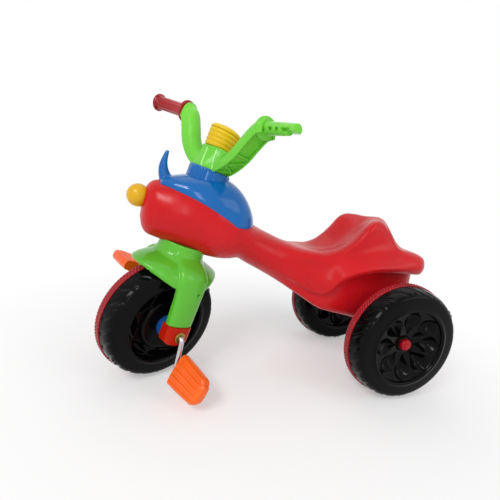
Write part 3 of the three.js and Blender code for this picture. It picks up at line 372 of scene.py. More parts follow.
red = plastic("body_red", (206, 22, 30), (192, 14, 22), roughness=0.3, streak=0.25, coat=0.05, specular=0.2)
blue = plastic("cover_blue", (12, 104, 180), (8, 94, 166), roughness=0.16, coat=0.2, specular=0.2)
green = plastic("fork_green", (98, 188, 50), (84, 176, 42), roughness=0.2, coat=0.2, specular=0.26)
# The handlebar is the fork's green plastic with its base colour painted lighter, standing for the brighter light that
# falls on it.
bar_green_painted_light = plastic("bar_green_painted_light", (116, 208, 64), (102, 196, 52), roughness=0.3, coat=0.04, specular=0.24)
# The stem's ridges get a paler green than the handlebar as a painted highlight along their crests; their low roughness
# and coat are real gloss.
ridge_painted_highlight_green = plastic("ridge_painted_highlight_green", (178, 238, 150), (166, 230, 138), roughness=0.08, coat=0.6, specular=0.6)
nose_yellow = plastic("nose_yellow", (224, 174, 18), (208, 156, 12), roughness=0.3)
bellows_yellow = plastic("bellows_yellow", (230, 196, 20), (220, 180, 12), roughness=0.3)
grip_red = plastic("grip_red", (164, 12, 22), (144, 8, 18), roughness=0.14, coat=0.25, specular=0.2)
trim_red = plastic("trim_red", (190, 34, 6), (174, 26, 4), roughness=0.28, specular=0.12)
cap_red = plastic("cap_red", (172, 10, 26), (150, 6, 20), roughness=0.18, specular=0.2)
band_red = plastic("band_red", (168, 22, 34), (146, 16, 28), roughness=0.22, specular=0.3)
black = plastic("wheel_black", (4, 4, 5), (8, 8, 9), roughness=0.16, specular=0.09)
hub_blue = plastic("hub_blue", (26, 84, 160), (20, 72, 140), roughness=0.3)
orange = plastic("pedal_orange", (250, 108, 30), (242, 84, 14), roughness=0.22, peel=0.08, coat=0.15, specular=0.2)
brass = plastic("washer_brass", (176, 150, 76), (150, 126, 60), roughness=0.35, metallic=1.0, specular=0.5)
chrome = plastic("crank_chrome", (214, 214, 218), (190, 190, 196), roughness=0.14, metallic=1.0, specular=0.5)
steel = plastic("plain_steel", (136, 138, 142), (112, 114, 118), roughness=0.36, metallic=1.0, specular=0.5)
dark_steel = plastic("dark_steel", (52, 52, 56), (38, 38, 42), roughness=0.4, metallic=1.0, specular=0.5)


def finish(obj, material, body, slot, *stands_for):
    obj.data.materials.append(material)
    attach(obj, body)
    if stands_for:
        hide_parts(*stands_for)
    return obj


def dress(node, material):
    """A better material for a CAD node that keeps its own shape."""
    obj = frame["nodes"][node]
    for place in obj.material_slots:
        place.material = material


# Body

CROWN = [
    (0, 0.921), (0.006, 1.024), (0.02, 1.093), (0.04, 1.116), (0.065, 1.122), (0.101, 1.134), (0.15, 1.141),
    (0.209, 1.131), (0.271, 1.072), (0.32, 0.986), (0.364, 0.914), (0.431, 0.862), (0.47, 0.836),
    (0.504, 0.819), (0.557, 0.797), (0.611, 0.786), (0.65, 0.793), (0.68, 0.814), (0.709, 0.855),
    (0.739, 0.907), (0.769, 0.955), (0.798, 0.993), (0.828, 1.014), (0.848, 1.017), (0.868, 1.007),
    (0.885, 0.979), (0.901, 0.931), (0.913, 0.886), (0.925, 0.855), (0.947, 0.834), (0.976, 0.821),
    (0.992, 0.803), (1, 0.783),
]
KEEL = [
    (0, 0.921), (0.006, 0.866), (0.02, 0.831), (0.055, 0.807), (0.121, 0.766), (0.2, 0.724), (0.265, 0.707),
    (0.31, 0.71), (0.35, 0.679), (0.411, 0.634), (0.54, 0.517), (0.634, 0.428), (0.715, 0.39),
    (0.785, 0.355), (0.84, 0.317), (0.889, 0.297), (0.935, 0.3), (0.951, 0.345), (0.96, 0.517),
    (0.968, 0.676), (0.984, 0.71), (1, 0.734),
]
SIDE = [
    (0, 0.02), (0.006, 0.195), (0.02, 0.354), (0.055, 0.5), (0.101, 0.598), (0.15, 0.659), (0.209, 0.689),
    (0.271, 0.659), (0.32, 0.598), (0.37, 0.549), (0.431, 0.524), (0.482, 0.543), (0.536, 0.61),
    (0.581, 0.695), (0.625, 0.805), (0.65, 0.89), (0.7, 0.963), (0.779, 1), (0.858, 1), (0.917, 0.988),
    (0.947, 0.963), (0.966, 0.915), (0.982, 0.841), (0.994, 0.744), (1, 0.634),
]
RIM_HEIGHT = [
    (0.431, 0.852), (0.462, 0.831), (0.536, 0.8), (0.595, 0.793), (0.646, 0.814), (0.686, 0.855),
    (0.719, 0.91), (0.749, 0.979), (0.775, 1.003), (0.802, 1), (0.826, 0.976), (0.85, 0.945), (0.864, 0.903),
    (0.881, 0.866), (0.897, 0.852), (0.947, 0.834), (0.976, 0.821), (1, 0.786),
]
RIM_WIDTH = [
    (0.431, 0.366), (0.462, 0.439), (0.536, 0.5), (0.595, 0.537), (0.646, 0.585), (0.686, 0.646),
    (0.719, 0.671), (0.749, 0.659), (0.779, 0.598), (0.802, 0.573), (0.85, 0.561), (0.897, 0.561),
    (0.947, 0.561), (0.976, 0.512), (1, 0.39),
]
WAIST_HEIGHT = [
    (0.431, 0.821), (0.536, 0.779), (0.595, 0.762), (0.626, 0.759), (0.688, 0.803), (0.737, 0.831),
    (0.791, 0.85), (0.858, 0.859), (0.883, 0.848), (0.937, 0.831), (0.976, 0.817), (1, 0.783),
]
WAIST_WIDTH = [
    (0.431, 0.463), (0.536, 0.573), (0.595, 0.659), (0.646, 0.72), (0.739, 0.744), (0.883, 0.744),
    (0.947, 0.744), (0.976, 0.671), (1, 0.512),
]
LIP_HEIGHT = [
    (0.431, 0.79), (0.536, 0.734), (0.595, 0.71), (0.652, 0.728), (0.713, 0.762), (0.765, 0.779),
    (0.858, 0.79), (0.937, 0.803), (0.976, 0.803), (1, 0.776),
]
UNDER_HEIGHT = [
    (0.431, 0.686), (0.536, 0.586), (0.595, 0.555), (0.625, 0.566), (0.65, 0.631), (0.709, 0.69),
    (0.792, 0.717), (0.883, 0.717), (0.937, 0.71), (0.966, 0.707), (0.988, 0.721), (1, 0.741),
]
WALL_WIDTH = [
    (0.431, 0.557), (0.536, 0.656), (0.595, 0.787), (0.646, 0.918), (0.709, 1), (0.927, 1), (0.957, 0.902),
    (0.976, 0.754), (1, 0.59),
]
OVAL_ANGLES = np.radians([0, 36, 60, 80, 96, 112, 130, 156, 180])
SADDLE_START, SADDLE_FULL = 0.42, 0.58


def waist(share):
    """The head ends in a soft step where the beam leaves it."""
    return 0.035 * float(smoothstep(0.288, 0.318, share) * (1 - smoothstep(0.34, 0.43, share)))


def body_ring(share, per_span=8):
    crown, keel = (float(level(rail(t, share))) for t in (CROWN, KEEL))
    side = float(rail(SIDE, share)) * BODY_HALF_WIDTH * (1 - waist(share))
    keel += waist(share) * 60
    half = np.stack([side * np.sin(OVAL_ANGLES),
                     (crown + keel) / 2 + (crown - keel) / 2 * np.cos(OVAL_ANGLES)], 1)
    blend = float(smoothstep(SADDLE_START, SADDLE_FULL, share))
    if blend:
        lip, under = (float(level(rail(t, share))) for t in (LIP_HEIGHT, UNDER_HEIGHT))
        wall = rail(WALL_WIDTH, share) * WALL_HALF_WIDTH
        saddle = np.array([
            (0, crown),
            (rail(RIM_WIDTH, share) * BODY_HALF_WIDTH, float(level(rail(RIM_HEIGHT, share)))),
            (rail(WAIST_WIDTH, share) * BODY_HALF_WIDTH, float(level(rail(WAIST_HEIGHT, share)))),
            (side * 0.92, lip),
            (side, under + (lip - under) * 0.42),
            (side * 0.92, under),
            (wall, under - GAP),
            (wall * 0.88, keel + (under - keel) * 0.12),
            (0, keel),
        ])
        half = half * (1 - blend) + saddle * blend
    left = half[-2:0:-1] * (-1, 1)
    ring = closed_spline(np.r_[half, left], per_span)
    return np.c_[np.full(len(ring), NOSE_X + share * BODY_LENGTH), ring]


def body():
    shares = np.r_[np.linspace(0, 1, 14) ** 2 * 0.08 + 0.0004, np.linspace(0.085, 0.95, 150),
                   np.linspace(0.952, 0.9995, 22)]
    rings = np.array([body_ring(s) for s in shares])
    # Softens the rings lengthwise, so that no station shows as a line.
    for _ in range(2):
        rings[15:-6] = (rings[14:-7] + 2 * rings[15:-6] + rings[16:-5]) / 4
    return lofted("body_shell_look", rings, BODY, sharp=35)


finish(body(), red, "trike_body", "body_red", "body_shell")

# Head cover

PARTING = [
    (0.02, 0.935), (0.06, 0.924), (0.1, 0.907), (0.145, 0.884), (0.19, 0.855), (0.225, 0.827), (0.26, 0.798),
    (0.285, 0.774), (0.32, 0.768), (0.37, 0.772),
]
COVER_CROWN = [
    (0.052, 0.93), (0.056, 0.945), (0.07, 0.957), (0.095, 0.967), (0.135, 0.978), (0.19, 0.984), (0.25, 0.975),
    (0.28, 0.955), (0.304, 0.928), (0.328, 0.885), (0.346, 0.835), (0.358, 0.785), (0.362, 0.768),
]
COVER_FRONT, COVER_BACK = 0.052, 0.362
COVER_SHARE = 1.1897


def head_half_width(share, z):
    crown, keel = (float(level(rail(t, share))) for t in (CROWN, KEEL))
    offset = (z - (crown + keel) / 2) / ((crown - keel) / 2)
    return rail(SIDE, share) * BODY_HALF_WIDTH * math.sqrt(max(0.0, 1 - offset * offset))


def cover_ring(share, steps=48):
    base = float(level(rail(PARTING, share) * COVER_SHARE)) + GAP
    crown = max(float(level(rail(COVER_CROWN, share) * COVER_SHARE)), base + COVER_PROUD)
    half = head_half_width(share, base) + COVER_PROUD
    angles = np.linspace(0, math.pi, steps + 1)
    c, s = np.cos(angles), np.sin(angles)
    y = half * np.sign(c) * np.abs(c) ** 0.86
    z = base + (crown - base) * np.abs(s) ** 0.86
    x = np.full(len(angles), NOSE_X + share * BODY_LENGTH)
    inner = [(x[0], -half + 2.2, base - 2.2), (x[0], half - 2.2, base - 2.2)]
    return np.r_[np.c_[x, y, z], inner]


HORN_HEIGHT, HORN_BASE, HORN_TIP, HORN_BOW, HORN_LEAN = 49, 11.5, 3, 8, 7
HORN_SHARE, HORN_FOOT_SHARE = 0.076, 1.1


def horn():
    steps, sides = 28, 40
    x0, z0 = NOSE_X + HORN_SHARE * BODY_LENGTH, float(level(HORN_FOOT_SHARE))
    angles = np.arange(sides) * TAU / sides
    back = np.maximum(np.cos(angles), 0)
    rings = []
    for t in np.linspace(0, 1, steps + 1):
        radius = HORN_BASE + (HORN_TIP - HORN_BASE) * t**0.9
        reach = radius + 0.6 * HORN_BASE * (1 - t) ** 4 * back
        x = x0 - HORN_BOW * math.sin(math.pi * t) - HORN_LEAN * t * (t - 0.55)
        rings.append(np.c_[x + reach * np.cos(angles), radius * np.sin(angles),
                           np.full(sides, z0 + HORN_HEIGHT * t)])
    tip = rings[-1]
    middle = tip.mean(0)
    for a in np.linspace(0, math.pi / 2, 7)[1:-1]:
        cap = middle + (tip - middle) * math.cos(a)
        cap[:, 2] += HORN_TIP * 0.45 * math.sin(a)
        rings.append(cap)
    return lofted("horn", rings, BODY)


def collar():
    """A round collar with moulded slots, standing on the dome along the column."""
    column = frame_of((math.cos(CASTER), 0, -math.sin(CASTER)), (0, 1, 0), (math.sin(CASTER), 0, math.cos(CASTER)),
                      steering_joint["pos_m"])
    sides = 240
    angles = np.arange(sides) * TAU / sides
    outer = COLLAR_RADIUS - COLLAR_NOTCH * smoothstep(0.93, 0.99, np.cos(angles * COLLAR_NOTCHES))
    rings = [(outer - inset, z) for inset, z in [(0, -46), (0, -4), (0.25, -1.6), (0.9, -0.5), (2.0, 0.0)]]
    rings += [(np.full(sides, STEM_RADIUS + r), z) for r, z in [(0.9, 0.0), (0.45, -0.6), (0.4, -14)]]
    return lofted("collar", [np.c_[r * np.cos(angles), r * np.sin(angles), np.full(sides, COLLAR_TOP + z)]
                             for r, z in rings], column, caps=False, sharp=50)


def head_cover():
    t = (1 - np.cos(np.linspace(0, math.pi, 90))) / 2
    rings = [cover_ring(COVER_FRONT + (COVER_BACK - COVER_FRONT) * v) for v in t]
    dome = lofted("dome", rings, BODY)
    fused = moulded(joined("dome_horn", [dome, horn()]), 1.0, 6, sharp=55)
    return joined("head_cover_look", [fused, collar()])


cover = head_cover()
cover.data.shade_smooth()
cover.data.set_sharp_from_angle(angle=math.radians(50))
finish(cover, blue, "trike_body", "cover_blue", "head_cover")


def nose():
    r = 17.6
    low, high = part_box("nose_ball")
    base = frame_of((1, 0, 0), (0, 1, 0), (0, 0, 1), (low + high) / 2)
    profile = [(r * math.sin(a), -r * math.cos(a)) for a in np.linspace(0.001, math.pi - 0.001, 49)]
    return turned("nose_ball_look", profile, base)


finish(nose(), nose_yellow, "trike_body", "nose_yellow", "nose_ball")
dress("rear_axle", steel)

# Handlebar

STEM_BOTTOM = COLLAR_TOP - COLLAR_HEIGHT + 0.4
STEM_TOP_HALF_WIDTH, STEM_TOP_HALF_DEPTH = 33, 19
STEM_RIDGE, RIDGE_PLACES = 2.2, ((-12, 0), (-25, -19))
PERCH_ANGLE = math.radians(8)
BAR_HALF_WIDTH, BAR_STAND, GRIP_RISE = 175, 78.1, 2.4
BAR_RISE = COLLAR_TOP + BAR_STAND
BEND_FORWARD, BAR_FORWARD, ARM_SETBACK = 11, 27.5, 1.5
ARM_WIDTH, ARM_DEPTH, ARM_WALL, ARM_CHANNEL, ARM_RIB, ARM_ROUND = 20, 31, 3, 6, 2.6, 0.6
GRIP_LENGTH, GRIP_RADIUS, GRIP_FLUTE = 76, 11.3, 0.8
GRIP_INNER_FLANGE, GRIP_OUTER_FLANGE, FLANGE = 18.8, 15, 4
CORE_ROOT, CORE_TIP, SLOT_HEIGHT, SLOT_DEPTH, SLOT_DROP = 9.6, 7.6, 5.0, 5.4, 3.0
CORE_SLOTS = ((1, 6), (15, 23), (30, 37), (43, 60))
BEND_HALF_WIDTH = BAR_HALF_WIDTH - GRIP_LENGTH
ARM_PATH = [(0.2, 0.16, 0.775), (0.55, 0.4, 0.81), (0.8, 0.61, 0.865), (0.92, 0.75, 0.93), (0.97, 0.88, 0.982),
            (1, 1.02, 1)]
ARM_SWELL = 0.5
RIB_SHARES, RIB_TILTS = (0.14, 0.25, 0.36, 0.5), (35, -25, 35, 0)


def stem_reach(z):
    t = float(smoothstep(COLLAR_TOP, STEM_TOP, z))
    return (t, STEM_RADIUS + (STEM_TOP_HALF_WIDTH - STEM_RADIUS) * t,
            STEM_RADIUS + (STEM_TOP_HALF_DEPTH - STEM_RADIUS) * t)


def stem():
    sides = 96
    angles = np.arange(sides) * TAU / sides
    rings = []
    for z in np.linspace(STEM_BOTTOM, STEM_TOP, 26):
        t, wide, deep = stem_reach(z)
        x = deep * np.cos(angles)
        rings.append(np.c_[x, wide * np.sin(angles), z - x * math.tan(PERCH_ANGLE) * t])
    return lofted("stem", rings, STEERED)


def stem_ridge(low, high):
    """One ridge up the front of the stem, with a narrow rounded crest, from one place across it to another."""
    rings = []
    for t in np.linspace(0, 1, 14):
        z = COLLAR_TOP + 0.4 + t * (STEM_RISE - STEM_RIDGE)
        middle = low + t * (high - low)
        _, wide, deep = stem_reach(z)
        front = -deep * math.sqrt(1 - (middle / wide) ** 2)
        bow = [(front - STEM_RIDGE * math.cos(a), middle + 1.1 * math.sin(a), z)
               for a in np.linspace(-math.pi / 2, math.pi / 2, 13)]
        rings.append([(front + 2 * STEM_RIDGE, middle - 1.4, z), *bow, (front + 2 * STEM_RIDGE, middle + 1.4, z)])
    return lofted("ridge", rings, STEERED)


def spline_through(points, count):
    """Points along an open centripetal curve, evenly spaced."""
    p = np.asarray(points, float)
    ends = np.r_[[2 * p[0] - p[1]], p, [2 * p[-1] - p[-2]]]
    fine = closed_spline(ends, 40)[40:-80]
    fine = np.r_[fine, [p[-1]]]
    length = np.r_[0, np.cumsum(np.linalg.norm(np.diff(fine, axis=0), axis=1))]
    at = np.linspace(0, length[-1], count)
    return np.stack([np.interp(at, length, fine[:, i]) for i in range(3)], 1)


def arm_line(side, count):
    return spline_through([(ARM_SETBACK - f * BEND_FORWARD, side * w * BEND_HALF_WIDTH, h * BAR_RISE)
                           for f, w, h in ARM_PATH], count)


def arm_frames(side, count):
    line = arm_line(side, count)
    tangent = np.gradient(line, axis=0)
    tangent /= np.linalg.norm(tangent, axis=1)[:, None]
    out = np.cross((1, 0, 0), tangent)
    out /= np.linalg.norm(out, axis=1)[:, None]
    out[out[:, 1] * side < 0] *= -1
    return line, out


def arc_corner(cx, cy, radius, start, end, steps=5):
    return [(cx + radius * math.cos(a), cy + radius * math.sin(a)) for a in np.radians(np.linspace(start, end, steps))]


def arm(side):
    """A channelled arm: rounded towards the bellows, with a shallow channel on the outside."""
    line, out = arm_frames(side, 60)
    half, deep, wall, lip = ARM_WIDTH / 2, ARM_DEPTH / 2, ARM_WALL, 0.7
    floor, fillet = half - ARM_CHANNEL, 1.2
    back = [(-half + ARM_ROUND * ARM_WIDTH * (1 - math.cos(a)), deep * math.sin(a))
            for a in np.radians(np.linspace(-90, 90, 25))]
    section = (back + arc_corner(half - lip, deep - lip, lip, 90, 0, 4)
               + arc_corner(half - lip, deep - wall + lip, lip, 0, -90, 4)
               + arc_corner(floor + fillet, deep - wall - fillet, fillet, 90, 180, 4)
               + arc_corner(floor + fillet, wall - deep + fillet, fillet, 180, 270, 4)
               + arc_corner(half - lip, wall - deep - lip, lip, 90, 0, 4)
               + arc_corner(half - lip, -deep + lip, lip, 0, -90, 4))
    rings = []
    for i in range(len(line)):
        swell = 1 + ARM_SWELL * float(smoothstep(0.1, 0.5, i / (len(line) - 1)))
        rings.append([line[i] + out[i] * n * (swell if n < 0 else 1) + np.array((x, 0, 0)) for n, x in section])
    return lofted("arm", rings, STEERED, sharp=45)


def arm_ribs(side):
    """The slanted ribs in the channel's lower half."""
    count = 201
    line, out = arm_frames(side, count)
    ribs = []
    for share, tilt in zip(RIB_SHARES, np.radians(RIB_TILTS)):
        i = round(share * (count - 1))
        along = np.cross((1, 0, 0), out[i])
        reach = (ARM_DEPTH - ARM_WALL) / 2 / math.cos(tilt)
        run = np.array((math.cos(tilt), 0, 0)) - along * math.sin(tilt)
        thick = np.array((math.sin(tilt), 0, 0)) + along * math.cos(tilt)
        low, high, half = ARM_WIDTH / 2 - ARM_CHANNEL - 1.5, ARM_WIDTH / 2 - 1.5, ARM_RIB / 2
        corners = [line[i] + run * x + out[i] * n + thick * t for t in (-half, half)
                   for x, n in ((-reach, low), (reach, low), (reach, high), (-reach, high))]
        faces = [(0, 1, 2, 3), (4, 5, 6, 7), (0, 1, 5, 4), (1, 2, 6, 5), (2, 3, 7, 6), (3, 0, 4, 7)]
        ribs.append(rounded(skin("rib", corners, faces, STEERED), 0.5, 2))
    return ribs


def grip_frame(side):
    root = np.array((-BEND_FORWARD, side * BEND_HALF_WIDTH, BAR_RISE))
    tip = np.array((-BAR_FORWARD, side * BAR_HALF_WIDTH, BAR_RISE + GRIP_RISE))
    z = (tip - root) / np.linalg.norm(tip - root)
    x = np.cross(z, np.cross((0, 0, 1), z))
    x /= np.linalg.norm(x)
    local = np.eye(4)
    local[:3, 0], local[:3, 1], local[:3, 2], local[:3, 3] = x, np.cross(z, x), z, root
    return STEERED @ local


def cut_out(obj, *tools):
    """Takes the tools away from the object."""
    for tool in tools:
        less = obj.modifiers.new("cut", "BOOLEAN")
        less.operation = "DIFFERENCE"
        less.solver = "EXACT"
        less.object = tool
    applied(obj)
    for tool in tools:
        bpy.data.objects.remove(tool)
    return obj


def block(name, low, high, base):
    corners = [(x, y, z) for z in (low[2], high[2]) for x, y in ((low[0], low[1]), (high[0], low[1]),
                                                                 (high[0], high[1]), (low[0], high[1]))]
    faces = [(0, 1, 2, 3), (4, 5, 6, 7), (0, 1, 5, 4), (1, 2, 6, 5), (2, 3, 7, 6), (3, 0, 4, 7)]
    return skin(name, corners, faces, base)


def bar_core(side):
    """The core that a grip slides on: tapered, with a row of slots in front and a shorter lower half."""
    base = grip_frame(side)
    length = GRIP_LENGTH - 2 * FLANGE - GAP
    profile = [(0.01, -CORE_ROOT), (CORE_ROOT, -CORE_ROOT), (CORE_ROOT, 0), (CORE_TIP, length - CORE_TIP / 2)]
    profile += [(CORE_TIP - 1.6 * (1 - math.cos(a)), length - 1.6 * (1 - math.sin(a)))
                for a in np.linspace(0, math.pi / 2, 7)]
    core = turned("core", profile + [(0.01, length)], base, sides=72)
    tools = []
    for start, end in CORE_SLOTS:
        front = -side * (CORE_ROOT + (CORE_TIP - CORE_ROOT) * end / length)
        near, far = sorted((front - SLOT_DEPTH, front + SLOT_DEPTH))
        tools.append(block("slot", (-SLOT_DROP - SLOT_HEIGHT / 2, near, start),
                           (-SLOT_DROP + SLOT_HEIGHT / 2, far, end), base))
    # The lower half stops short of the tip.
    tools.append(block("end", (-2 * CORE_ROOT, -2 * CORE_ROOT, length * 0.74), (-CORE_TIP * 0.42, 2 * CORE_ROOT, length + 5), base))
    return rounded(cut_out(core, *tools), 0.35, 2)


def bend_boss(side):
    """The rounded elbow that ends in a flat disc against the grip."""
    radius, back = GRIP_INNER_FLANGE * 0.87, ARM_WIDTH * 0.8
    profile = [(0.01, -back)] + [(radius * math.sin(a), -back * (0.15 + 0.85 * math.cos(a)))
                                 for a in np.linspace(0.15, math.pi / 2, 12)]
    nose = [(radius * share, -drop) for share, drop in ((1, 8), (0.985, 5.5), (0.94, 3.4), (0.86, 1.8), (0.74, 0.8), (0.6, GAP))]
    return turned("boss", profile + nose + [(0.01, -GAP)], grip_frame(side))


def handlebar():
    smooth = [stem(), *(arm(s) for s in (-1, 1)), *(bend_boss(s) for s in (-1, 1))]
    fused = moulded(joined("bar_forms", smooth), 0.7, 7, sharp=60)
    ridges = [stem_ridge(*places) for places in RIDGE_PLACES]
    for ridge in ridges:
        # Each ridge takes the second material, whose paler green paints the highlight on its crest.
        ridge.data.polygons.foreach_set("material_index", [1] * len(ridge.data.polygons))
    cores = [bar_core(s) for s in (-1, 1)]
    return joined("handlebar_look", [fused, *ridges, *cores, *arm_ribs(-1), *arm_ribs(1)])


bar = handlebar()
bar.data.shade_smooth()
bar.data.set_sharp_from_angle(angle=math.radians(45))
# The handlebar takes the lighter copy of the fork's green, with painted light in it.
finish(bar, bar_green_painted_light, "steered", "steering_green", "handlebar")
# The second material is the ridges' paler green, a painted highlight.
bar.data.materials.append(ridge_painted_highlight_green)


def grip():
    sides = 288
    angles = np.arange(sides) * TAU / sides
    rib = 0.5 - 0.5 * np.cos(angles * 12)
    profile = [(GRIP_INNER_FLANGE - 0.8, 0, 0), (GRIP_INNER_FLANGE, 0.8, 0), (GRIP_INNER_FLANGE, 3.2, 0),
               (GRIP_INNER_FLANGE - 0.8, 4, 0), (13.5, 4.6, 0), (GRIP_RADIUS + 0.5, 6.2, 0.4), (GRIP_RADIUS, 8.5, 1),
               (GRIP_RADIUS, 66, 1), (GRIP_RADIUS + 0.8, 69, 0.3), (14.0, 70.6, 0), (GRIP_OUTER_FLANGE, 72, 0),
               (GRIP_OUTER_FLANGE, 74, 0), (GRIP_OUTER_FLANGE - 1.2, 75.4, 0), (11, 76, 0), (0.01, 76, 0)]
    rings = [[((0.01 + (r - GRIP_FLUTE * f * (1 - ribs))) * math.cos(a), (r - GRIP_FLUTE * f * (1 - ribs)) * math.sin(a), z)
              for a, ribs in zip(angles, rib)] for r, z, f in profile]
    bore = [[(12.0 * math.cos(a), 12.0 * math.sin(a), 0) for a in angles]]
    return lofted("right_grip_look", np.array(bore + rings), grip_frame(1), caps=False, sharp=50)


finish(grip(), grip_red, "steered", "grip_red", "right_grip")

# Bellows

BELLOWS_FOOT, BELLOWS_RADIUS, BELLOWS_HEIGHT, FOLDS, FOLD, CAP_HEIGHT = 23, 26, 35, 4, 1.5, 8


def bellows():
    """Soft rounded folds between narrow creases."""
    top = BELLOWS_HEIGHT - CAP_HEIGHT
    profile = [(0.01, GAP)]
    for t in np.linspace(0, 1, 121):
        radius = BELLOWS_FOOT + (BELLOWS_RADIUS - BELLOWS_FOOT) * t
        wave = abs(math.sin(math.pi * FOLDS * t)) ** 0.9
        profile.append((radius - FOLD * (1 - wave), GAP + (top - GAP) * t))
    profile.append((0.01, top))
    return turned("bellows_look", profile, PERCH, sharp=80)


def bellows_cap():
    foot = 2 * GAP + BELLOWS_HEIGHT - CAP_HEIGHT
    profile = [(0.01, foot), (BELLOWS_RADIUS * 0.96, foot), (BELLOWS_RADIUS * 0.99, foot + 0.7)]
    for a in np.linspace(0.05, math.pi / 2, 20):
        profile.append((max(BELLOWS_RADIUS * math.cos(a) ** 0.72, 0.01), foot + CAP_HEIGHT * (0.25 + 0.95 * math.sin(a))))
    return turned("bellows_cap_look", profile, PERCH, sharp=60)


soft = finish(bellows(), bellows_yellow, "steered", "bellows_yellow", "bellows")
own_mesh(soft)
finish(bellows_cap(), bellows_yellow, "bellows_top", "bellows_yellow", "bellows_cap")

# Fork

FENDER_HALF_ANGLE = math.radians(39.5)
FENDER_HALF_WIDTH, FENDER_TIP_HALF_WIDTH, FENDER_DROP, FENDER_WALL = 64, 7, 42, 3
FENDER_FRONT_LIFT, FENDER_BACK_LIFT = 3, 8
LEG_INNER, LEG_EDGE, LEG_OUTER, LEG_HALF_WIDTH, LEG_FOOT_HALF, LEG_FOOT = 55, 62, 72, 25, 22, 15
CAP_INNER, CAP_DEPTH, CAP_PROUD = 50, 14, 1.6
SCREW_HEIGHT, SCREW_BACK = 69.5, 10
LEG_LEVELS = [
    (0, 0.88, 1, 1, 1), (0.35, 0.95, 1, 0.97, 0.99), (0.62, 1.04, 0.98, 0.93, 0.965), (0.72, 1.05, 0.95, 0.92, 0.955),
    (0.8, 1.04, 0.86, 0.86, 0.91), (0.88, 0.98, 0.7, 0.73, 0.8), (0.94, 0.88, 0.55, 0.58, 0.66),
    (1, 0.74, 0.4, 0.42, 0.53),
]


def fender():
    rings = []
    angles = np.linspace(-math.pi / 2, math.pi / 2, 49)
    for t in np.linspace(-math.pi / 2, math.pi / 2, 72):
        turn = FENDER_HALF_ANGLE * math.sin(t)
        share = abs(turn) / FENDER_HALF_ANGLE
        left = max(1 - share**3, 0)
        half = max(FENDER_HALF_WIDTH * left**0.55, FENDER_TIP_HALF_WIDTH)
        drop = FENDER_DROP * left + FENDER_WALL
        crown = FENDER_RADIUS + (FENDER_FRONT_LIFT if turn < 0 else FENDER_BACK_LIFT) * share**2.5

        def row(inset):
            radius = crown - inset - drop * (1 - np.cos(angles))
            return np.c_[radius * math.sin(turn), (half - inset) * np.sin(angles), radius * math.cos(turn)]

        rings.append(np.r_[row(0), row(FENDER_WALL)[::-1]])
    return lofted("fender", rings, STEERED)


def leg_section(half, inner, edge, outer, z, side):
    bow = outer - edge
    arc = [(half * math.sin(a), edge + bow * max(math.cos(a), 0) ** 0.8) for a in np.linspace(-math.pi / 2, math.pi / 2, 25)]
    return [(x, side * y, z) for x, y in [(-half, inner), *arc, (half, inner)]]


def leg(side):
    heights = [l[0] for l in LEG_LEVELS]
    rings = []
    for h in np.linspace(0, heights[-1], 30):
        wide, inner, edge, outer = (float(rail([(l[0], l[k]) for l in LEG_LEVELS], h)) for k in (1, 2, 3, 4))
        rings.append(leg_section(wide * LEG_HALF_WIDTH, inner * LEG_INNER, edge * LEG_EDGE, outer * LEG_OUTER,
                                 LEG_FOOT + h * (FENDER_RADIUS - LEG_FOOT), side))
    return lofted("leg", rings, STEERED)


def screw_room(side):
    base = moved(outwards(STEERED, side), x=SCREW_BACK, y=-side * SCREW_HEIGHT)
    return turned("screw_room", [(0.01, 57), (3, 57), (3, 90), (0.01, 90)], base, sides=32)


def fork():
    """Neck, fender and legs, with a flare where the neck meets the fender."""
    ring = FENDER_RADIUS + NECK_STAND
    profile = [(0.01, 100), (48, 100), (45, 106), (41.5, 111.5), (39, 116), (38.1, 120.5), (37.6, 124.5),
               (NECK_RADIUS, 127), (NECK_RADIUS, ring), (0.01, ring)]
    forms = joined("fork_forms", [fender(), leg(-1), leg(1), turned("neck", profile, STEERED)])
    return cut_out(moulded(forms, 1.1, 5, sharp=60), screw_room(-1), screw_room(1))


fork_look = fork()
fork_look.name = "fork_look"
finish(fork_look, green, "steered", "steering_green", "fork")
dress("steering_column", steel)


def axle_cap(side, name):
    top, foot, outer, edge = LEG_FOOT - GAP, LEG_FOOT_HALF, LEG_OUTER + CAP_PROUD, LEG_EDGE + CAP_PROUD
    rings = []
    for z, k in [(-CAP_DEPTH, 0.74), (-CAP_DEPTH * 0.93, 0.84), (-CAP_DEPTH * 0.75, 0.95), (-CAP_DEPTH * 0.4, 0.99), (top, 1)]:
        rings.append(leg_section(foot * k, CAP_INNER, edge, outer, z, side))
    return rounded(lofted(name, rings, STEERED), 1.0)


def leg_screw(side, name):
    base = moved(outwards(STEERED, side), x=SCREW_BACK, y=-side * SCREW_HEIGHT)
    return turned(name, [(0.01, 58.3), (2.6, 58.3), (2.6, 63.6), (2.1, 64.4), (0.01, 64.8)], base, sides=32)


SIDES = ((-1, "left"), (1, "right"))
for side, word in SIDES:
    finish(axle_cap(side, f"{word}_axle_cap_look"), trim_red, "steered", "trim_red", f"{word}_axle_cap")
    dress(f"{word}_leg_screw", dark_steel)

# Wheels

PETALS = 8
LUGS = 24
RIM_RING = 66.9
RING_PROUD, RING_WIDTH, PETAL_DEPTH = 3.2, 5, 11
LUG_DEPTH, STUD_RADIUS, STUD_PROUD = 1.4, 2.3, 1.7
BAND_NEAR = 4.5
# The CAD wheel has 32 flats, and the round tread stays inside them.
TREAD_RADIUS = WHEEL_RADIUS * math.cos(math.pi / 32)


FULL_RIM = [(75.9, 34.3), (81.9, 33.8), (86.5, 33.1), (90.2, 31.2), (92.8, 28), (94.6, 24), (95.8, 19),
            (96.5, 14), (97, 9.6), (97.4, 6), (97.1, 4.8)]
SLOPED_RIM = [(71.6, 33.8), (73.2, 31.4), (77, 27.4), (81.5, 22.5), (86.1, 17.3), (90.2, 12.4), (92.6, 9.7),
              (93, 8.8)]


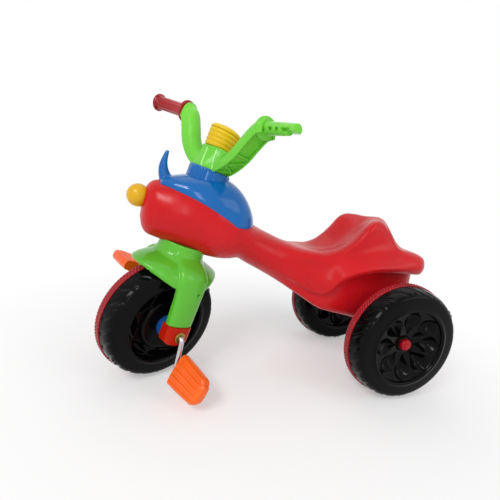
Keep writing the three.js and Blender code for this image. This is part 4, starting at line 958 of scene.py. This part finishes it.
def shell(name, base, hub_radius, hub_out, dish_out, full, steps=480, turn=0.0):
    """One half of a blow-moulded wheel: hub, dish with leaf-shaped pockets, rim ring and shoulder.

    A full half has a lugged shoulder; the other slopes away from the band and is smooth.
    """
    theta = np.arange(steps) * TAU / steps
    inner, outer = hub_radius + 3, RIM_RING - RING_WIDTH
    inner_rise = min(hub_out, dish_out)
    off = np.abs(((theta - turn) * PETALS / TAU) % 1 - 0.5) * 2  # 1 in the middle of a pocket, 0 on a rib
    rings = []

    def ring(radius, out):
        radius, out = np.broadcast_to(radius, theta.shape), np.broadcast_to(out, theta.shape)
        rings.append(np.c_[radius * np.cos(theta), radius * np.sin(theta), out])

    ring(AXLE_RADIUS + 0.4, 0.3)
    ring(AXLE_RADIUS + 0.4, hub_out)
    for r, z in [(0.8, 0), (0.88, -0.15), (0.95, -0.6), (0.99, -1.4), (1.0, -2.4)]:
        ring(hub_radius * r, hub_out + z)
    for v in np.linspace(0.02, 0.98, 30):
        base_z = inner_rise + (dish_out - inner_rise) * v
        swell = max(math.sin(math.pi * v**1.35), 0) ** 0.7
        reach = 0.92 * swell
        pocket = np.clip((off - (1 - reach)) / max(reach, 1e-6), 0, 1)
        depth = PETAL_DEPTH * np.sin(pocket * math.pi / 2) * min(1, swell * 1.1)
        ring(inner + (outer - inner) * v, base_z - depth)
    top = SHELL_HALF_WIDTH + RING_PROUD
    for dr, dz in [(-4.4, -6), (-3.9, -4.4), (-3.1, -1.9), (-1.9, -0.5), (-0.4, 0), (1.2, -0.5), (2.6, -1.3)]:
        ring(RIM_RING + dr, top + dz)
    if full:
        ring(RIM_RING + 5, top - 1.9)
    line = spline_through([(r, z, 0) for r, z in (FULL_RIM if full else SLOPED_RIM)], 56 if full else 24)
    for i, (r, z, _) in enumerate(line):
        s = i / (len(line) - 1)
        if not full:
            ring(r, z)
            continue
        # Lugs between shallow curved grooves, every second one with a pair of small studs.
        place = theta * LUGS / TAU + 0.32 * math.sin(s * math.pi * 1.5)
        wave = place % 1
        groove = smoothstep(0.0, 0.12, wave) * (1 - smoothstep(0.24, 0.4, wave))
        cut = LUG_DEPTH * groove * float(smoothstep(0.3, 0.48, s) * (1 - smoothstep(0.93, 1.0, s)))
        stud = np.zeros(steps)
        for at in (0.52, 0.86):
            across = (wave - at) * TAU / LUGS * 90 / STUD_RADIUS
            along = (s - 0.5) * 46 / STUD_RADIUS
            stud += (1 - smoothstep(0.45, 1.15, np.hypot(across, along))) * (np.floor(place) % 4 == 2)
        lean = float(smoothstep(0.15, 0.7, s))
        ring(r - (cut - stud * STUD_PROUD) * lean, z - (cut - stud * STUD_PROUD) * (1 - lean))
    ring(WHEEL_RADIUS - BAND_DEPTH - GAP, (BAND_NEAR if full else BAND_HALF_WIDTH) + GAP)
    ring(WHEEL_RADIUS - BAND_DEPTH - GAP, 0.3)
    return lofted(name, rings, base, closed=True, sharp=50)


def tread_band(name, base, low, high, steps=1320, diamonds=110):
    """The band between the halves, with a fine diamond tread. The lugged half covers one edge of it."""
    theta = np.arange(steps) * TAU / steps
    rings = []
    middle, half = (low + high) / 2, (high - low) / 2
    for y in np.linspace(-1, 1, 25):
        near = np.ones(steps)
        for lean in (-0.8, 0.8):
            near = np.minimum(near, np.abs((theta * diamonds / TAU + lean * y) % 1 - 0.5) * 2)
        edge = float(1 - smoothstep(0.84, 1.0, abs(y)))
        r = TREAD_RADIUS - 1.1 * (1 - smoothstep(0.1, 0.6, near)) * edge - 1.2 * (1 - edge)
        rings.append(np.c_[r * np.cos(theta), r * np.sin(theta), np.full(steps, middle + y * half)])
    for z in (high, low):
        r = WHEEL_RADIUS - BAND_DEPTH
        rings.append(np.c_[r * np.cos(theta), r * np.sin(theta), np.full(steps, z)])
    return lofted(name, rings, base, closed=True, sharp=45)


def dome_cap(name, base, start, radius=10, height=8):
    profile = [(0.01, start), (radius, start)]
    for a in np.linspace(0.08, math.pi / 2, 14):
        profile.append((max(radius * math.cos(a) ** 0.75, 0.01), start + height * (0.35 + 0.65 * math.sin(a))))
    return turned(name, profile, base, sides=64)


REAR_HUB, REAR_HUB_OUT, REAR_DISH_OUT = 13, 19.5, 29.5
FRONT_HUB, FRONT_HUB_OUT, FRONT_DISH_OUT = 42, 33, 25
for side, word in SIDES:
    body_name = f"rear_{word}_wheel"
    place = joint(f"rear_{word}_wheel_spin")["pos_m"]
    wheel = frame_of((1, 0, 0), (0, 1, 0), (0, 0, 1), place)
    prefix = f"rear_{word}_"
    finish(shell(f"{prefix}wheel_outer_shell_look", outwards(wheel, side), REAR_HUB, REAR_HUB_OUT, REAR_DISH_OUT,
                 full=side < 0), black,
           body_name, "wheel_black", f"{prefix}wheel_outer_shell")
    finish(shell(f"{prefix}wheel_inner_shell_look", outwards(wheel, -side), REAR_HUB, REAR_HUB_OUT, REAR_DISH_OUT,
                 full=side > 0), black,
           body_name, "wheel_black", f"{prefix}wheel_inner_shell")
    span = (-BAND_HALF_WIDTH, BAND_NEAR) if side < 0 else (-BAND_NEAR, BAND_HALF_WIDTH)
    finish(tread_band(f"{prefix}wheel_tread_band_look", outwards(wheel, side), *span), band_red,
           body_name, "band_red", f"{prefix}wheel_tread_band")
    finish(dome_cap(f"{prefix}hub_cap_look", outwards(wheel, side), REAR_HUB_OUT + 0.4), cap_red,
           body_name, "trim_red", f"{prefix}hub_cap")
    dress(f"{prefix}wheel_spacer", trim_red)

for side, word in SIDES:
    finish(shell(f"front_wheel_{word}_shell_look", outwards(CRANK, side), FRONT_HUB, FRONT_HUB_OUT, FRONT_DISH_OUT,
                 full=side < 0), black,
           "front_wheel", "wheel_black", f"front_wheel_{word}_shell")
    disc = turned(f"front_{word}_hub_disc_look",
                  [(4.6, 33.3), (18.5, 33.3), (18.5, 46.6), (18.1, 47.6), (16.4, 49.0), (15.6, 49.2), (4.6, 49.2), (4.6, 33.3)],
                  outwards(CRANK, side))
    finish(disc, hub_blue, "front_wheel", "hub_blue", f"front_{word}_hub_disc")
    washer = turned(f"{word}_axle_washer_look",
                    [(4.6, 73.9), (8.4, 73.9), (8.8, 74.3), (8.8, 74.8), (8.4, 75.2), (4.6, 75.2), (4.6, 73.9)],
                    outwards(CRANK, side), sides=64)
    finish(washer, brass, "front_wheel", "washer_brass", f"{word}_axle_washer")
finish(tread_band("front_wheel_tread_band_look", outwards(CRANK, 1), -BAND_NEAR, BAND_HALF_WIDTH), band_red, "front_wheel", "band_red",
       "front_wheel_tread_band")

# Crank and pedals

CRANK_OUT, CRANK_BEND = 80.5, 5


def crank_rod():
    end = PEDAL_OUTER - 5
    corners = np.array([(-end, -CRANK_THROW), (-CRANK_OUT, -CRANK_THROW), (-CRANK_OUT, 0), (CRANK_OUT, 0),
                        (CRANK_OUT, CRANK_THROW), (end, CRANK_THROW)])
    line = [corners[0]]
    for i in range(1, len(corners) - 1):
        before = corners[i] + (corners[i - 1] - corners[i]) / np.linalg.norm(corners[i - 1] - corners[i]) * CRANK_BEND
        after = corners[i] + (corners[i + 1] - corners[i]) / np.linalg.norm(corners[i + 1] - corners[i]) * CRANK_BEND
        for t in np.linspace(0, 1, 9):
            line.append((1 - t) ** 2 * before + 2 * t * (1 - t) * corners[i] + t * t * after)
    line.append(corners[-1])
    line = np.array(line)
    tangent = np.gradient(line, axis=0)
    tangent /= np.linalg.norm(tangent, axis=1)[:, None]
    sides = 32
    rings = []
    for (y, z), (ty, tz) in zip(line, tangent):
        rings.append([(AXLE_RADIUS * math.sin(a), y - tz * AXLE_RADIUS * math.cos(a), z + ty * AXLE_RADIUS * math.cos(a))
                      for a in np.arange(sides) * TAU / sides])
    return lofted("crank_look", rings, CRANK)


finish(crank_rod(), chrome, "front_wheel", "crank_chrome", "crank")

PEDAL_WIDTH, PEDAL_TIP_WIDTH, PEDAL_THICKNESS, PEDAL_RIBS, RIB_DEPTH = 52, 45, 22, 5, 2.2
PEDAL_LEVELS = [
    (0, 1, 0.94, 0), (0.05, 1, 1, 1), (0.76, 0.08, 0.97, 1), (0.85, -0.2, 0.93, 0.7), (0.905, -0.9, 0.86, 0.2),
    (0.93, -1.6, 0.8, 0), (0.942, -2.3, 0.76, 0), (0.98, -2.6, 0.68, 0), (1, -3.1, 0.5, 0),
]


def pedal(name, base):
    """A tapering block with lengthwise ribs, narrowing near its outer end to a flat end face. Its length runs along
    +Z.
    """
    shares = np.r_[0, 0.006, 0.02, np.linspace(0.04, 0.72, 24), np.linspace(0.74, 0.985, 40), 0.993, 1]
    across = np.linspace(-1, 1, 121)
    rings = []
    for v in shares:
        wide, thick, rib = (float(rail([(l[0], l[k]) for l in PEDAL_LEVELS], v)) for k in (1, 2, 3))
        width = PEDAL_TIP_WIDTH + wide * (PEDAL_WIDTH - PEDAL_TIP_WIDTH)
        thickness = thick * PEDAL_THICKNESS
        ease = min(1.0, v / 0.02) ** 0.5
        width -= 1.2 * (1 - ease)
        thickness -= 1.2 * (1 - ease)
        crown = 1 - 0.35 * np.abs(across) ** 3
        ribs = 0.5 - 0.5 * np.cos(across * math.pi * PEDAL_RIBS + math.pi)
        ribs = smoothstep(0.15, 0.85, ribs)
        y = thickness / 2 * crown - rib * RIB_DEPTH * (1 - ribs)
        corner = np.clip((np.abs(across) - 0.93) / 0.07, 0, 1)
        y = y * np.sqrt(np.maximum(1 - corner**2 * 0.75, 0.02))
        x = across * width / 2
        z = PEDAL_INNER + v * (PEDAL_OUTER - PEDAL_INNER)
        upper = np.c_[x, y, np.full(len(x), z)]
        lower = np.c_[x, -y, np.full(len(x), z)][::-1]
        rings.append(np.r_[upper, lower])
    block = lofted(name, rings, base, sharp=50)
    return block


for side, word in SIDES:
    at = left_pedal_at if side < 0 else right_pedal_at
    spindle = STEERED.copy()
    spindle[:3, 3] = at
    spindle = turned_about_y(spindle, PEDAL_TURNS[side])
    # The pedal's width lies across the crank arm, so it is turned a quarter about its own length.
    quarter = np.array([[0, -1, 0, 0], [1, 0, 0, 0], [0, 0, 1, 0], [0, 0, 0, 1]])
    base = outwards(spindle, side) @ quarter
    finish(pedal(f"{word}_pedal_look", base), orange, f"{word}_pedal_body", "pedal_orange", f"{word}_pedal")
    dress(f"{word}_pedal_cap", orange)

# Floor, light and camera

floor_mesh = bpy.data.meshes.new("floor")
floor_mesh.from_pydata([(-30, -30, 0), (30, -30, 0), (30, 30, 0), (-30, 30, 0)], [], [(0, 1, 2, 3)])
floor = new_object("floor", floor_mesh)
floor_material = bpy.data.materials.new("floor")
floor_material.use_nodes = True
nodes, links = floor_material.node_tree.nodes, floor_material.node_tree.links
floor_shader = nodes["Principled BSDF"]
floor_shader.inputs["Base Color"].default_value = (0.97, 0.97, 0.97, 1)
floor_shader.inputs["Roughness"].default_value = 0.9
floor_shader.inputs["Specular IOR Level"].default_value = 0.0


def seen_rays(nodes, links):
    """One where a camera, glossy or transmitted ray looks, and zero where light only bounces."""
    path = nodes.new("ShaderNodeLightPath")
    total = path.outputs["Is Camera Ray"]
    for name in ("Is Glossy Ray", "Is Transmission Ray"):
        more = nodes.new("ShaderNodeMath")
        more.operation = "MAXIMUM"
        links.new(total, more.inputs[0])
        links.new(path.outputs[name], more.inputs[1])
        total = more.outputs[0]
    return total


# The floor keeps the shadow near the tricycle, and is plain white further out.
distance = nodes.new("ShaderNodeVectorMath")
distance.operation = "LENGTH"
links.new(nodes.new("ShaderNodeTexCoord").outputs["Object"], distance.inputs[0])
far = nodes.new("ShaderNodeMapRange")
far.interpolation_type = "SMOOTHSTEP"
far.inputs["From Min"].default_value = 0.2
far.inputs["From Max"].default_value = 0.7
far.inputs["To Min"].default_value = 0.35
links.new(distance.outputs["Value"], far.inputs["Value"])
share = nodes.new("ShaderNodeMath")
share.operation = "MULTIPLY"
links.new(far.outputs["Result"], share.inputs[0])
links.new(seen_rays(nodes, links), share.inputs[1])
glow = nodes.new("ShaderNodeEmission")
glow.inputs["Strength"].default_value = 1.0
mix = nodes.new("ShaderNodeMixShader")
links.new(share.outputs[0], mix.inputs["Fac"])
links.new(floor_shader.outputs["BSDF"], mix.inputs[1])
links.new(glow.outputs["Emission"], mix.inputs[2])
links.new(mix.outputs["Shader"], nodes["Material Output"].inputs["Surface"])
floor.data.materials.append(floor_material)

world = bpy.data.worlds.new("studio")
bpy.context.scene.world = world
world.use_nodes = True
nodes, links = world.node_tree.nodes, world.node_tree.links
background = nodes["Background"]
background.inputs["Color"].default_value = (1, 1, 1, 1)
background.inputs["Strength"].default_value = 0.5
white = nodes.new("ShaderNodeBackground")
white.inputs["Color"].default_value = (1, 1, 1, 1)
white.inputs["Strength"].default_value = 1.0
swap = nodes.new("ShaderNodeMixShader")
links.new(seen_rays(nodes, links), swap.inputs["Fac"])
links.new(background.outputs["Background"], swap.inputs[1])
links.new(white.outputs["Background"], swap.inputs[2])
links.new(swap.outputs["Shader"], nodes["World Output"].inputs["Surface"])


def area_light(name, place, target, size, energy):
    light = bpy.data.lights.new(name, "AREA")
    light.shape = "RECTANGLE"
    light.size, light.size_y = size
    light.energy = energy
    obj = bpy.data.objects.new(name, light)
    bpy.context.scene.collection.objects.link(obj)
    obj.location = place
    obj.rotation_mode = "QUATERNION"
    obj.rotation_quaternion = (Vector(target) - Vector(place)).to_track_quat("-Z", "Y")
    return obj


middle = (0, 0, 0.2)
area_light("key", (-1.5, -1.3, 1.9), middle, (0.9, 0.7), 25)
area_light("strip", (-0.7, -2.0, 0.85), middle, (0.2, 1.0), 4)
area_light("fill", (1.5, -1.6, 1.3), middle, (1.4, 1.0), 7)
area_light("top", (0.2, 0.6, 2.2), middle, (1.6, 1.6), 6)
area_light("spark", (-1.2, -1.6, 1.5), middle, (0.22, 0.22), 3)

bpy.context.scene.view_settings.view_transform = "Standard"

# The camera of the photograph, solved in the body's frame: place in millimetres, angles in radians.
CAMERA_PLACE = (-453.5253, -603.7636, 365.3372)
YAW, PITCH, ROLL = 0.3277, 0.225, 0.1208
FOCAL_PIXELS, IMAGE_WIDTH, SENSOR = 379.97, 500, 36.0

camera_data = bpy.data.cameras.new("camera")
camera = bpy.data.objects.new("camera", camera_data)
bpy.context.scene.collection.objects.link(camera)
camera_data.sensor_width = SENSOR
camera_data.sensor_fit = "HORIZONTAL"
camera_data.lens = FOCAL_PIXELS / IMAGE_WIDTH * SENSOR
camera_data.clip_start = 0.01
look = Vector((math.sin(YAW) * math.cos(PITCH), math.cos(YAW) * math.cos(PITCH), -math.sin(PITCH)))
level_right = Vector((math.cos(YAW), -math.sin(YAW), 0))
level_up = level_right.cross(look)
right = math.cos(ROLL) * level_right + math.sin(ROLL) * level_up
up = math.cos(ROLL) * level_up - math.sin(ROLL) * level_right
camera.matrix_world = Matrix((
    (right.x, up.x, -look.x, BODY[0, 3] + CAMERA_PLACE[0] * MM),
    (right.y, up.y, -look.y, BODY[1, 3] + CAMERA_PLACE[1] * MM),
    (right.z, up.z, -look.z, BODY[2, 3] + CAMERA_PLACE[2] * MM),
    (0, 0, 0, 1),
))
bpy.context.scene.camera = camera
